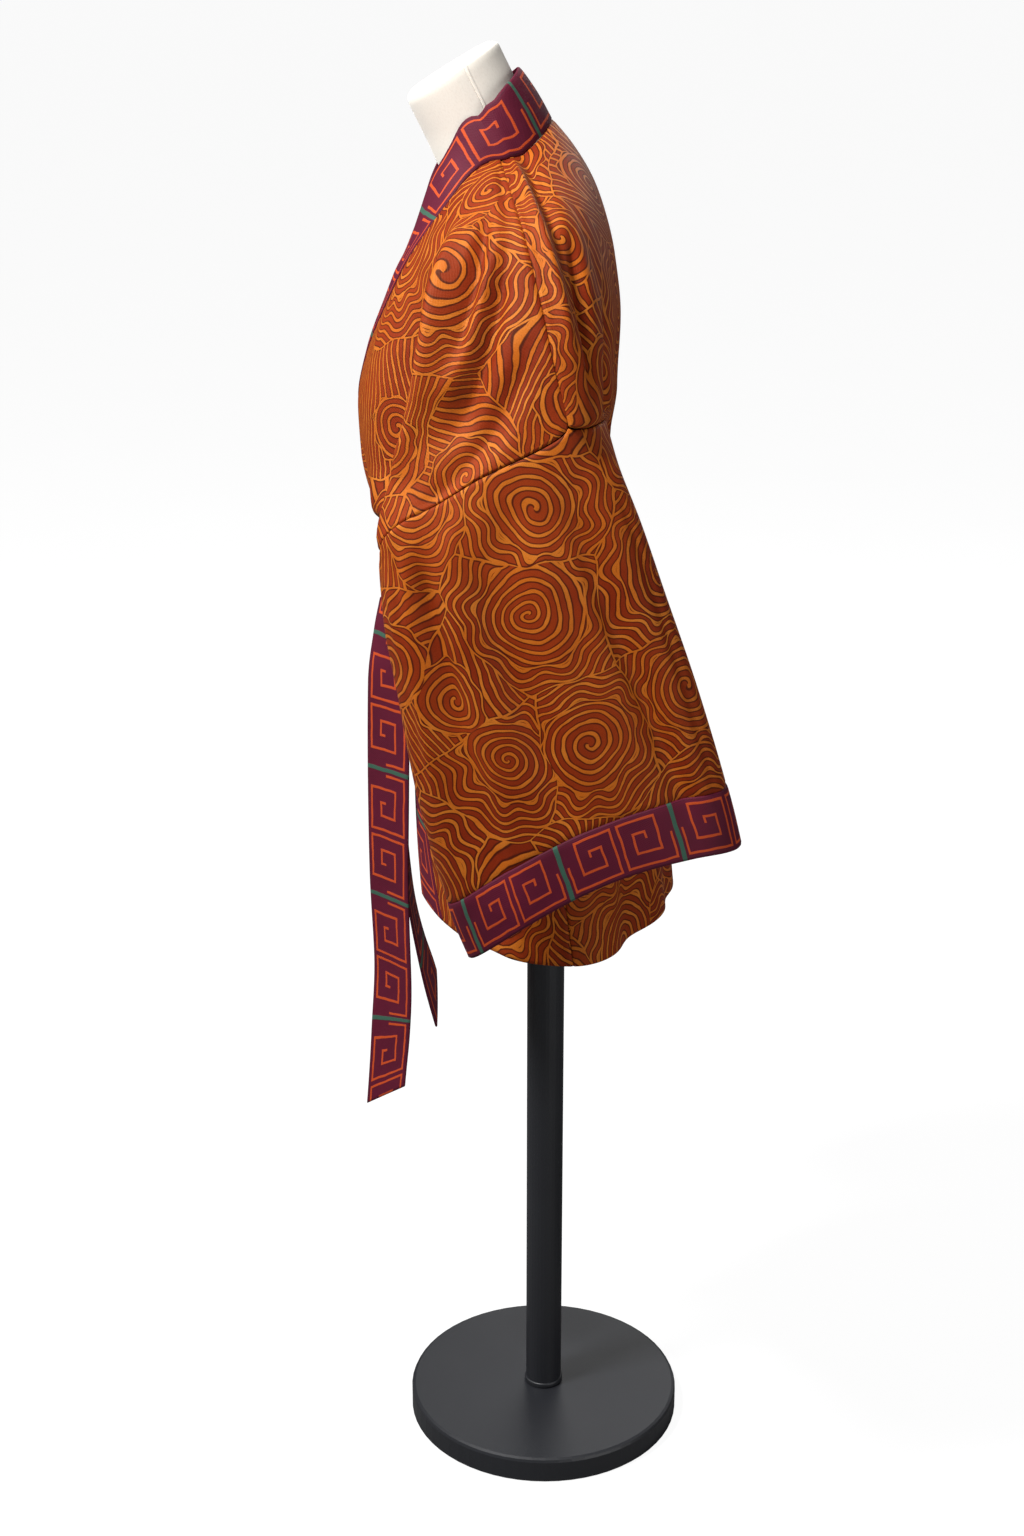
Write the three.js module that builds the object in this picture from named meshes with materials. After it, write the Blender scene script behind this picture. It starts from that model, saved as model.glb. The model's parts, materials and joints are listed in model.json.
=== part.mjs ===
// A hip-length kimono jacket, wrapped left over right and tied with its own belt, worn by a limbless
// dress form on a pole and a round base. Millimetres, +Z up. The front faces -Y and +X is the wearer's left.
// The origin is the centre of the base's underside. Each cloth piece is a thin closed wall.
import * as THREE from "three";

// ---------------------------------------------------------------- driving dimensions
const CLOTH = 1.8; // wall of one layer of the printed cloth
const TRIM = 2.6; // wall of the doubled trim: collar, cuffs and belt
const SEAM_GAP = 0.5; // room between two pieces that are sewn together
const BAND_WIDTH = 56; // flat width of the trim
const OVERLAP_LIFT = 4.8; // how far the left front lies outside the right one
const BELT_LIFT = 1.1; // room between the belt and the cloth under it
const BELT_STEP = 5.8; // how much further out the belt lies where both fronts and a collar are under it
const BELT_LOW = 957;
const BELT_HIGH = 1013;

const BASE_RADIUS = 150;
const BASE_HEIGHT = 29;
const BASE_BEVEL = 4;
const POLE_RADIUS = 19.8;
const CONTACT_GAP = 0.3;

/** Rows as objects with named columns. */
function table(columns, rows) {
  return rows.map((row) => Object.fromEntries(columns.map((name, i) => [name, row[i]])));
}

// Rows of the cloth from the neck to the hem. Row 5 ends at the shoulder seam's foot, rows 5 to 8 end
// on the armhole, and rows 8 to 13 end on the side seam. centreY and centreZ are on the centre line;
// sideY and half are the oval's centre and half width; endZ is the height at the row's outer end, which
// lies at the angle end (degrees from the centre line); round is the power of the oval's depth; left
// and right are where the collar's seam crosses each front, measured from the centre line towards
// that front's own side.
const FRONT = table(
  ["row", "centreY", "centreZ", "sideY", "endZ", "half", "round", "end", "left", "right"],
  [
    ["neck", -101, 1366, -46, 1395, 68, 1, 90, 67.6, 67.6],
    ["collarbone", -117, 1338, -38, 1378, 124, 1, 90, 82, 82],
    ["shoulder", -135, 1300, -26, 1348, 184, 0.95, 90, 72, 72],
    ["upper chest", -153, 1256, -10, 1290, 229, 0.85, 90, 50, 50],
    ["chest", -170, 1210, 2, 1237, 252, 0.85, 90, 24, 24],
    ["bust", -180, 1160, 13, 1192, 263, 0.8, 90, -2, -4],
    ["under bust", -178, 1122, -13, 1139, 274, 0.7, 75, -20, -24],
    ["armhole foot", -168, 1087, -94, 1077, 285, 0.5, 57.4, -33, -40],
    ["armpit", -155, 1050, -46, 1066, 172, 0.95, 90, -47, -52],
    ["belt top", -138, 1014, -47, 1014, 134, 0.9, 90, -60, -58],
    ["belt foot", -137, 956, -46, 956, 134, 0.9, 90, -58, -60],
    ["high hip", -134, 890, -24, 890, 158, 0.9, 90, -8, -62],
    ["hip", -131, 800, 2, 798, 179, 0.9, 90, 58, -64],
    ["hem", -130, 664, 24, 640, 188, 0.95, 90, 112, -66],
  ],
);
const BACK = table(
  ["row", "centreY", "centreZ", "sideY", "endZ", "half", "round", "end"],
  [
    ["neck", 1, 1425, -46, 1395, 68, 1, 90],
    ["nape", 22, 1400, -38, 1378, 124, 1, 90],
    ["shoulder", 45, 1360, -26, 1348, 184, 0.95, 90],
    ["blades", 61, 1304, -10, 1290, 229, 0.85, 90],
    ["upper back", 67, 1252, 2, 1237, 252, 0.8, 90],
    ["mid back", 65, 1212, 13, 1192, 263, 0.75, 90],
    ["armhole back", 64, 1186, 13, 1186, 234, 0.6, 59],
    ["armhole inside", 60, 1142, -37, 1130, 188, 0.8, 74.4],
    ["armpit", 54, 1084, -46, 1066, 172, 0.9, 90],
    ["belt top", 43, 1014, -47, 1014, 134, 0.9, 90],
    ["belt foot", 46, 956, -46, 956, 134, 0.9, 90],
    ["high hip", 84, 890, -24, 890, 158, 0.9, 90],
    ["hip", 116, 800, 2, 798, 179, 0.95, 90],
    ["hem", 132, 654, 24, 640, 188, 1.1, 90],
  ],
);
const SHOULDER_FOOT = 5; // row where the shoulder seam ends and the armhole begins
const ARMHOLE_FOOT = 7;
const ARMHOLE_BACK = 6;
const ARMPIT = 8;
const BELT_TOP = 9;
const BELT_FOOT = 10;
const HEM = 13;

// Large folds of the body, each a soft line from (angle, row) to (angle, row); deep is + for a ridge.
const FRONT_FOLDS = table(
  ["name", "angle0", "row0", "angle1", "row1", "wide", "deep", "sharpest"],
  [
    ["valley before the arm", 41, 1.6, 35, 8, 9.5, -34, 0.7],
    ["ridge of the arm", 60, 1.2, 54, 7.3, 8, 13, 0.6],
    ["hollow over the arm", 78, 1.8, 66, 5.9, 7, -8, 0.5],
    ["tuck at the belt", 40, 7.6, 50, 9.2, 6, -5, 0.5],
    ["skirt trough", 52, 10, 62, 13.6, 7, -7, 0.7],
  ],
);
const BACK_FOLDS = table(
  ["name", "angle0", "row0", "angle1", "row1", "wide", "deep", "sharpest"],
  [
    ["ridge behind the seam", 78, -0.4, 79, 4.2, 4.5, 8, 0.35],
    ["hollow behind the ridge", 66, -0.4, 67, 4.6, 6, -9, 0.35],
    ["blade trough", 30, 3.2, 22, 9.2, 7, -6, 0.6],
    ["skirt trough inner", 14, 10, 18, 13.8, 6, -7, 0.8],
    ["skirt trough outer", 44, 10, 50, 14.2, 13, -17, 0.85],
  ],
);
const FOLD_FADE = 0.3; // share of a fold's length over which it comes and goes

// The sleeve from its seam to its open end. frontY, frontZ and backY, backZ are the two edges of the
// flattened tube; outer and inner are its sides' distances from the centre plane; arch lifts the
// outer side between the edges and sag lowers the inner one; rightBack is how much further forward the
// right sleeve's back edge hangs.
const SLEEVE = table(
  ["row", "frontY", "frontZ", "backY", "backZ", "outer", "inner", "arch", "sag", "rightBack"],
  [
    ["armhole", -149, 1077, 50, 1186, 268, 176, 0, 0, 0],
    ["cap", -155, 1056, 60, 1148, 280, 187, 6, 50, -8],
    ["upper", -152, 1008, 77, 1105, 290, 192, 12, 40, -20],
    ["elbow", -140, 938, 101, 1037, 299, 196, 18, 12, -34],
    ["lower", -125, 853, 131, 954, 306, 200, 25, -6, -38],
    ["cuff seam", -96, 741, 161, 859, 311, 203, 33, -11, -36],
    ["cuff end", -77, 687, 176, 802, 313, 205, 37, -13, -34],
  ],
);
const CUFF_SEAM = 5;
const CUFF_END = 6;
const SLEEVE_FOLDS = table(
  ["name", "angle0", "row0", "angle1", "row1", "wide", "deep", "sharpest"],
  [
    ["front trough", 52, 0.2, 42, 5.6, 9, -9, 0.35],
    ["middle trough", 92, 0.2, 84, 5.0, 10, -6, 0.3],
    ["back trough", 128, 0.6, 134, 6.6, 10, -7, 0.6],
    ["inner trough", 270, 0.8, 262, 6.4, 16, -9, 0.6],
  ],
);
const CUFF_PROUD = 0.7; // the trim stands this far outside the sleeve
const CUFF_GAP = 0.004; // rows of the sleeve in half of the cuff seam's gap
const COLLAR_PROUD = 0.8; // the left collar lies this far outside its front

// The form: centre, half depth and half width of each ring, and its lean forwards in degrees.
const FORM = table(
  ["ring", "y", "z", "deep", "wide", "lean"],
  [
    ["underside", 4, 668, 92, 140, 0],
    ["foot", 2, 676, 101, 151, 0],
    ["hip", -8, 800, 104, 165, 0],
    ["high hip", -28, 890, 90, 144, 0],
    ["waist", -47, 985, 81, 124, 0],
    ["ribs", -52, 1070, 89, 136, 0],
    ["bust", -60, 1150, 112, 152, 0],
    ["chest", -51, 1210, 108, 160, 2],
    ["upper chest", -44, 1256, 100, 168, 4],
    ["shoulder", -34, 1300, 90, 171, 6],
    ["shoulder top", -33, 1332, 82.3, 164.6, 8],
    ["slope", -37, 1358, 70.3, 124.6, 12],
    ["neck root", -48, 1382, 53, 66, 17],
    ["neck low", -60, 1404, 50, 50, 22],
    ["neck", -73, 1431, 49.5, 46.5, 26],
    ["neck top", -89, 1463, 49.5, 46, 30],
    ["cap edge", -92, 1470, 47, 43.5, 30.6],
    ["cap", -93.5, 1473, 41, 37.5, 30.6],
  ],
);

// The collar's width direction where it stands about the neck: inwards, forwards and up, in millimetres.
const STANDING = table(
  ["at", "inward", "forward", "up"],
  [
    ["centre back", 0, 30, 46],
    ["back quarter", 2, 28, 48],
    ["side", 16, 21, 35],
    ["front quarter", 26, 18, 28],
    ["collarbone", 46, 16, 13],
    ["chest", 48, 15, 6],
  ],
);

// The belt's loose ends: the centre line's points, the way across the strip and its width there.
const LEFT_TAIL = table(
  ["x", "y", "z", "acrossX", "acrossY", "width"],
  [
    [16, -159.5, 958.2, 0.92, 0.39, 40],
    [20, -160, 925, 0.8, 0.6, 50],
    [22, -161, 870, 0.66, 0.75, BAND_WIDTH],
    [23, -162.5, 770, 0.64, 0.77, BAND_WIDTH],
    [22, -163.5, 660, 0.66, 0.75, BAND_WIDTH],
    [20, -162, 560, 0.7, 0.71, BAND_WIDTH],
    [18, -166, 480, 0.66, 0.75, BAND_WIDTH],
    [17, -172, 405, 0.64, 0.77, BAND_WIDTH],
  ],
);
const RIGHT_TAIL = table(
  ["x", "y", "z", "acrossX", "acrossY", "width"],
  [
    [-22, -157, 958.2, 1, 0, 38],
    [-33, -158, 925, 1, -0.06, 48],
    [-40, -157, 870, 1, -0.08, BAND_WIDTH],
    [-42, -155, 790, 1, -0.06, BAND_WIDTH],
    [-42, -152, 700, 1, -0.04, BAND_WIDTH],
    [-41, -145, 620, 1, 0, BAND_WIDTH],
    [-38, -133, 550, 1, 0.02, BAND_WIDTH],
    [-36, -119, 494, 1, 0.03, BAND_WIDTH],
  ],
);
const TAIL_SLANT = 40; // one corner of a loose end is cut this much longer than the other
const KNOT = { x: 0, y: -157.8, z: 985, halfWide: 29, halfDeep: 10, halfHigh: 27 };

const COLOURS = {
  print: { color: 0xb5561f, roughness: 0.75, metalness: 0 },
  trim: { color: 0x4d1732, roughness: 0.7, metalness: 0 },
  linen: { color: 0xe9e4da, roughness: 0.85, metalness: 0 },
  metal: { color: 0x1b1c1e, roughness: 0.42, metalness: 0.5 },
};

// ---------------------------------------------------------------- helpers
const LEFT = 1;
const RIGHT = -1;
const radians = (degrees) => (degrees * Math.PI) / 180;
const clamp = (value) => Math.min(1, Math.max(0, value));
const lerp = (a, b, share) => a + (b - a) * share;
const ease = (value) => clamp(value) ** 2 * (3 - 2 * clamp(value));
const steps = (from, to, count) => Array.from({ length: count + 1 }, (_, i) => lerp(from, to, i / count));

/** Monotone cubic through evenly spaced values, so that no section bulges past its neighbours. */
function through(values, at) {
  const last = values.length - 1;
  const i = Math.max(0, Math.min(Math.floor(at), last - 1));
  const t = at - i;
  const rise = (k) => values[k + 1] - values[k];
  const slope = (k) => {
    if (k <= 0) return rise(0);
    if (k >= last) return rise(last - 1);
    const [a, b] = [rise(k - 1), rise(k)];
    return a * b > 0 ? (2 * a * b) / (a + b) : 0;
  };
  const t2 = t * t;
  const t3 = t2 * t;
  return (
    (2 * t3 - 3 * t2 + 1) * values[i] +
    (t3 - 2 * t2 + t) * slope(i) +
    (3 * t2 - 2 * t3) * values[i + 1] +
    (t3 - t2) * slope(i + 1)
  );
}

const column = (rows, name, at) => through(rows.map((row) => row[name]), at);

/** Height of all folds at one place; angle in degrees. */
function foldHeight(folds, angle, row) {
  let height = 0;
  for (const fold of folds) {
    const share = (row - fold.row0) / (fold.row1 - fold.row0);
    if (share <= 0 || share >= 1) continue;
    const line = lerp(fold.angle0, fold.angle1, share);
    const fade = ease(share / FOLD_FADE) * ease((1 - share) / FOLD_FADE);
    const strength = 1 - 0.5 * Math.abs(share - fold.sharpest);
    height += fold.deep * fade * strength * Math.exp(-(((angle - line) / fold.wide) ** 2));
  }
  return height;
}

/** Normal of a surface at(a, b), facing the way that a x b turns. */
function normalOf(at, a, b, stepA, stepB) {
  const alongA = at(a + stepA, b).sub(at(a - stepA, b));
  const alongB = at(a, b + stepB).sub(at(a, b - stepB));
  return alongA.cross(alongB).normalize();
}

// ---------------------------------------------------------------- body of the jacket
/** Point of the unfolded body, on the left side for a positive angle. */
function bodyBase(table, angle, row) {
  const end = column(table, "end", row);
  const sideY = column(table, "sideY", row);
  const share = Math.min(1.2, Math.abs(angle) / end);
  const depth = Math.max(0, Math.cos(radians(angle))) ** column(table, "round", row);
  return new THREE.Vector3(
    column(table, "half", row) * Math.sin(radians(angle)),
    sideY + (column(table, "centreY", row) - sideY) * depth,
    lerp(column(table, "centreZ", row), column(table, "endZ", row), ease(share)),
  );
}

/** Point of the body's cloth, lifted by its folds and by lift, mirrored for the right side. */
function bodyPoint(table, side, angle, row, lift = 0) {
  const base = (a, r) => bodyBase(table, a, r);
  const inside = THREE.MathUtils.clamp(row, 0.02, HEM - 0.02);
  const normal = normalOf(base, angle, inside, 0.5, 0.02).multiplyScalar(table === FRONT ? -1 : 1);
  const folds = foldHeight(table === FRONT ? FRONT_FOLDS : BACK_FOLDS, Math.abs(angle), row);
  const point = base(angle, row).addScaledVector(normal, folds + lift);
  point.x *= side;
  return point;
}

/** How far the left front lies outside the right one. */
const overlapLift = (angle, row) => OVERLAP_LIFT * ease((row - 0.9) / 1.6) * (1 - ease((angle - 66) / 22));

const frontPoint = (side, angle, row, lift = 0) =>
  bodyPoint(FRONT, side, angle, row, lift + (side === LEFT ? overlapLift(angle, row) : 0));

/** Angle of the collar's seam on a front. */
function collarAngle(side, row) {
  const across = column(FRONT, side === LEFT ? "left" : "right", row);
  return (Math.asin(across / column(FRONT, "half", row)) * 180) / Math.PI;
}

/** The angle that is this many millimetres along a row. */
const turn = (length, row) => (length / column(FRONT, "half", row)) * (180 / Math.PI);

// ---------------------------------------------------------------- walls
/** A closed wall between two grids of points, seen from outside with rows down and columns to the right. */
function wallGeometry(outer, inner, closed = false) {
  const rows = outer.length;
  const columns = outer[0].length;
  const index = [];
  const id = (layer, i, j) => (layer * rows + i) * columns + (j % columns);
  const quad = (a, b, c, d) => index.push(a, b, c, a, c, d);
  const last = rows - 1;
  const span = closed ? columns : columns - 1;
  for (let j = 0; j < span; j++) {
    for (let i = 0; i < last; i++) {
      quad(id(0, i, j), id(0, i + 1, j), id(0, i + 1, j + 1), id(0, i, j + 1));
      quad(id(1, i, j), id(1, i, j + 1), id(1, i + 1, j + 1), id(1, i + 1, j));
    }
    quad(id(0, 0, j), id(0, 0, j + 1), id(1, 0, j + 1), id(1, 0, j));
    quad(id(0, last, j), id(1, last, j), id(1, last, j + 1), id(0, last, j + 1));
  }
  if (!closed)
    for (let i = 0; i < last; i++) {
      quad(id(0, i, 0), id(1, i, 0), id(1, i + 1, 0), id(0, i + 1, 0));
      quad(id(0, i, span), id(0, i + 1, span), id(1, i + 1, span), id(1, i, span));
    }
  return new THREE.BufferGeometry().setFromPoints([...outer.flat(), ...inner.flat()]).setIndex(index);
}

/** A wall from a grid maker: grid(lift) gives the surface at that height over the piece's own face. */
function cloth(grid, thickness, turned, closed = false) {
  const layers = [grid(0), grid(-thickness)];
  if (turned) layers.forEach((layer) => layer.forEach((line) => line.reverse()));
  return wallGeometry(...layers, closed);
}

const group = new THREE.Group();

function add(name, geometry, finish) {
  const mesh = new THREE.Mesh(geometry, new THREE.MeshStandardMaterial(COLOURS[finish]));
  mesh.name = name;
  group.add(mesh);
}

// ---------------------------------------------------------------- panels
const ARMHOLE_FRONT_ROWS = steps(SHOULDER_FOOT, ARMHOLE_FOOT, 6);
const UNDERARM_ROWS = steps(ARMHOLE_FOOT, ARMPIT, 4);
const ARMHOLE_BACK_ROWS = steps(SHOULDER_FOOT, ARMHOLE_BACK, 3);
const ARMHOLE_INNER_ROWS = steps(ARMHOLE_BACK, ARMPIT, 6);
const joined = (...parts) => parts.flatMap((part, i) => (i ? part.slice(1) : part));
const YOKE_ROWS = steps(0, SHOULDER_FOOT, 9);
const SKIRT_ROWS = joined(steps(ARMPIT, BELT_TOP, 3), [BELT_TOP, BELT_FOOT], steps(BELT_FOOT, HEM, 7));
const FRONT_ROWS = joined(YOKE_ROWS, ARMHOLE_FRONT_ROWS, UNDERARM_ROWS, SKIRT_ROWS);
const BACK_ROWS = joined(YOKE_ROWS, ARMHOLE_BACK_ROWS, ARMHOLE_INNER_ROWS, SKIRT_ROWS);
const FRONT_COLUMNS = 13;
const BACK_COLUMNS = 22;

/** Angle of a panel's outer edge, a seam's gap short of the row's end. */
const edgeAngle = (table, row) => column(table, "end", row) - turn(SEAM_GAP, row);

const frontPanel = (side) => (lift) =>
  FRONT_ROWS.map((row) =>
    steps(collarAngle(side, row), edgeAngle(FRONT, row), FRONT_COLUMNS).map((angle) =>
      frontPoint(side, angle, row, lift),
    ),
  );

const backPanel = (lift) =>
  BACK_ROWS.map((row) => {
    const end = edgeAngle(BACK, row);
    return steps(-end, end, BACK_COLUMNS).map((angle) => bodyPoint(BACK, LEFT, angle, row, lift));
  });

// ---------------------------------------------------------------- collar
const NECK_STEPS = 6;
const COLLAR_COLUMNS = 3;
const SIDE_STATION = -0.06; // the last station on the back's neck line, close to the shoulder seam

/** A point of the collar's seam: at is -1 on the centre back, 0 at the shoulder, then the front's row. */
function seamPoint(side, at, lift) {
  if (at < 0) return bodyPoint(BACK, side, 90 * (1 + at), 0, lift);
  return frontPoint(side, collarAngle(side, at), at, lift);
}

/** A point across the collar: share 0 is the seam and 1 the free edge. */
function collarPoint(side, at, share, lift) {
  const seam = seamPoint(side, at, 0);
  const value = (name) => column(STANDING, name, Math.min(2 * (at + 1), STANDING.length - 1));
  const across = new THREE.Vector3(-side * value("inward"), -value("forward"), value("up"));
  const next = seamPoint(side, at + 0.02, 0).sub(seamPoint(side, Math.max(at - 0.02, -1), 0));
  const outward = next.cross(across).normalize().multiplyScalar(-side);
  const gap = SEAM_GAP / across.length();
  const standing = seam.addScaledVector(across, lerp(gap, 1, share)).addScaledVector(outward, lift);
  if (at <= 0) return standing;
  const slope = 1 / Math.cos(Math.atan(collarSlope(side, at)));
  const reach = lerp(SEAM_GAP, BAND_WIDTH, share) * slope;
  const proud = side === LEFT ? COLLAR_PROUD * ease((at - 0.6) / 2) : 0;
  const lying = frontPoint(side, collarAngle(side, at) - turn(reach, at), at, lift + proud);
  return standing.lerp(lying, ease((at - 0.7) / 1.4));
}

/** Sideways run of the collar's seam for each unit down. */
function collarSlope(side, at) {
  const run = seamPoint(side, Math.min(HEM, at + 0.1), 0).sub(seamPoint(side, Math.max(0, at - 0.1), 0));
  return run.x / Math.hypot(run.y, run.z);
}

const collar = (side) => (lift) =>
  [...steps(-1, SIDE_STATION, NECK_STEPS), ...FRONT_ROWS].map((at) =>
    steps(1, 0, COLLAR_COLUMNS).map((share) => {
      const point = collarPoint(side, at, share, lift);
      if (at === -1) point.x = (side * SEAM_GAP) / 2;
      return point;
    }),
  );

// ---------------------------------------------------------------- sleeves
const armholeLine = (table, side, rows) =>
  rows.map((row) => {
    const end = column(table, "end", row);
    return table === FRONT ? frontPoint(side, end, row) : bodyPoint(BACK, side, end, row);
  });

/** The armhole's outer half, from the front foot over the shoulder seam to the back, and its inner half. */
function armhole(side) {
  return {
    outer: joined(
      armholeLine(FRONT, side, [...ARMHOLE_FRONT_ROWS].reverse()),
      armholeLine(BACK, side, ARMHOLE_BACK_ROWS),
    ),
    inner: joined(
      armholeLine(BACK, side, ARMHOLE_INNER_ROWS),
      armholeLine(FRONT, side, [...UNDERARM_ROWS].reverse()),
    ),
  };
}

/** Share of a half's length at each of its points. */
function shares(line) {
  const along = [0];
  for (let i = 1; i < line.length; i++) along.push(along[i - 1] + line[i].distanceTo(line[i - 1]));
  return along.map((length) => length / along.at(-1));
}

const SEAM_DROP = 1.4; // the sleeve's edge lies this far below the armhole
const UNDERARM_DROP = 3.2; // and this far below and outside it under the arm

/** A point of the sleeve's own oval at a whole row; angle 0 is the front edge and 180 the back edge. */
function sleeveRing(side, angle, index) {
  const row = SLEEVE[index];
  const along = -Math.cos(radians(angle));
  const out = Math.sin(radians(angle));
  const arch = out ** 2 * (out > 0 ? row.arch : -row.sag);
  const backY = row.backY + (side === RIGHT ? row.rightBack : 0);
  return new THREE.Vector3(
    side * lerp(row.inner, row.outer, (1 + Math.sign(out) * Math.abs(out) ** 0.85) / 2),
    lerp(row.frontY, backY, (1 + along) / 2),
    lerp(row.frontZ, row.backZ, (1 + along) / 2) + arch,
  );
}

/** The columns of a sleeve: each starts at a point of the armhole and runs down the ovals. */
function sleeveColumns(side) {
  const { outer, inner } = armhole(side);
  const half = (line, start) =>
    shares(line).slice(0, -1).map((share, i) => {
      const angle = start + 180 * lerp(share, Math.acos(1 - 2 * share) / Math.PI, 0.4);
      const under = Math.max(0, -Math.sin(radians(angle)));
      const top = line[i].clone();
      top.z -= lerp(SEAM_DROP, UNDERARM_DROP, under);
      top.x += side * UNDERARM_DROP * under;
      return { angle, points: SLEEVE.map((_, index) => (index ? sleeveRing(side, angle, index) : top)) };
    });
  return [...half(outer, 0), ...half(inner, 180)];
}

/** A tube of cloth between two rows of the sleeve, its face raised by proud. */
const tube = (side, from, to, count, proud) => (lift) => {
  const columns = sleeveColumns(side);
  const at = (j, row) => {
    const { points } = columns[(j + columns.length) % columns.length];
    return new THREE.Vector3(...["x", "y", "z"].map((axis) => through(points.map((p) => p[axis]), row)));
  };
  return steps(from, to, count).map((row) =>
    columns.map(({ angle }, j) => {
      const inside = THREE.MathUtils.clamp(row, 0.1, CUFF_END - 0.1);
      const down = at(j, inside + 0.1).sub(at(j, inside - 0.1));
      const round = at(j + 1, inside).sub(at(j - 1, inside));
      const normal = round.cross(down).normalize().multiplyScalar(-side);
      return at(j, row).addScaledVector(normal, foldHeight(SLEEVE_FOLDS, angle, row) + proud + lift);
    }),
  );
};

// ---------------------------------------------------------------- belt
const BELT_COLUMNS = 36;
const BELT_SWELL = 0.6; // the belt's middle stands this far outside its edges

/** A point of the belt at a signed angle from the centre front, going all the way round. */
function beltPoint(angle, height, lift) {
  const front = Math.abs(angle) < 90;
  const own = front ? angle : Math.sign(angle) * (180 - Math.abs(angle));
  const step = BELT_STEP * (1 - ease((Math.abs(angle) - 62) / 26));
  const row = BELT_TOP + (BELT_HIGH + 1 - height) / (BELT_HIGH + 2 - BELT_LOW);
  return bodyPoint(front ? FRONT : BACK, LEFT, own, row, BELT_LIFT + TRIM + step + lift);
}

const belt = (lift) =>
  steps(BELT_HIGH, BELT_LOW, 2).map((height, i) =>
    steps(-180, 180, BELT_COLUMNS)
      .slice(0, -1)
      .map((angle) => beltPoint(angle, height, lift + (i % 2) * BELT_SWELL)),
  );

const KNOT_PINCH = 0.16; // share of the knot's width taken in at its middle

/** The knot: a rounded pad, pinched at its middle where the belt is drawn round it. */
function knot() {
  const geometry = new THREE.SphereGeometry(1, 18, 12);
  const place = geometry.attributes.position;
  const square = (value) => Math.sign(value) * Math.abs(value) ** 0.7;
  for (let i = 0; i < place.count; i++) {
    const [x, y, z] = [place.getX(i), place.getY(i), place.getZ(i)].map(square);
    const wide = KNOT.halfWide * (1 - KNOT_PINCH * Math.exp(-((z / 0.35) ** 2)));
    place.setXYZ(i, KNOT.x + x * wide, KNOT.y + y * KNOT.halfDeep, KNOT.z + z * KNOT.halfHigh);
  }
  return geometry;
}

const TAIL_STEPS = 16;
const TAIL_COLUMNS = 2;

/** One loose end: a strip whose foot is cut on the slant, longest at the edge that longSide names. */
const tail = (table, longSide) => (lift) =>
  steps(0, table.length - 1, TAIL_STEPS).map((row) => {
    const value = (name) => column(table, name, row);
    const across = new THREE.Vector3(value("acrossX"), value("acrossY"), 0).normalize();
    const outward = new THREE.Vector3(across.y, -across.x, 0);
    return steps(-0.5, 0.5, TAIL_COLUMNS).map((share) => {
      const slant = -TAIL_SLANT * share * longSide * ease((row - table.length + 3) / 2);
      return new THREE.Vector3(value("x"), value("y"), value("z") + slant)
        .addScaledVector(across, share * value("width"))
        .addScaledVector(outward, lift);
    });
  });

// ---------------------------------------------------------------- form and stand
const FORM_COLUMNS = 30;

/** The form: rings joined from the underside to the cap, closed by a point at each end. */
function form() {
  const rings = FORM.flatMap((_, i) => (i === 0 ? [0] : [i - 0.5, i])).map((at) => {
    const value = (name) => column(FORM, name, at);
    const lean = radians(value("lean"));
    return steps(0, 360, FORM_COLUMNS).slice(0, -1).map((angle) => {
      const deep = value("deep") * Math.cos(radians(angle));
      return new THREE.Vector3(
        value("wide") * Math.sin(radians(angle)),
        value("y") - deep * Math.cos(lean),
        value("z") - deep * Math.sin(lean),
      );
    });
  });
  const middle = (ring) => ring.reduce((sum, p) => sum.add(p), new THREE.Vector3()).divideScalar(ring.length);
  const points = [...rings.flat(), middle(rings[0]), middle(rings.at(-1))];
  const low = points.length - 2;
  const high = points.length - 1;
  const id = (i, j) => i * FORM_COLUMNS + (j % FORM_COLUMNS);
  const index = [];
  for (let j = 0; j < FORM_COLUMNS; j++) {
    for (let i = 0; i < rings.length - 1; i++)
      index.push(id(i, j), id(i, j + 1), id(i + 1, j + 1), id(i, j), id(i + 1, j + 1), id(i + 1, j));
    index.push(low, id(0, j + 1), id(0, j));
    index.push(high, id(rings.length - 1, j), id(rings.length - 1, j + 1));
  }
  return new THREE.BufferGeometry().setFromPoints(points).setIndex(index);
}

function lathe(profile, segments) {
  const geometry = new THREE.LatheGeometry(profile.map(([r, z]) => new THREE.Vector2(r, z)), segments);
  return geometry.rotateX(Math.PI / 2);
}

const BASE_SEGMENTS = 64;
const POLE_SEGMENTS = 32;
const poleTop = FORM[0].z - CONTACT_GAP;

add("base_disc", lathe([
  [0, 0],
  [BASE_RADIUS - 1.5, 0],
  [BASE_RADIUS, 1.5],
  [BASE_RADIUS, BASE_HEIGHT - BASE_BEVEL],
  [BASE_RADIUS - BASE_BEVEL * 0.3, BASE_HEIGHT - BASE_BEVEL * 0.3],
  [BASE_RADIUS - BASE_BEVEL, BASE_HEIGHT],
  [0, BASE_HEIGHT],
], BASE_SEGMENTS), "metal");
add("pole", lathe([
  [0, BASE_HEIGHT + CONTACT_GAP],
  [POLE_RADIUS, BASE_HEIGHT + CONTACT_GAP],
  [POLE_RADIUS, poleTop],
  [0, poleTop],
], POLE_SEGMENTS), "metal");
add("form", form(), "linen");

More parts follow.
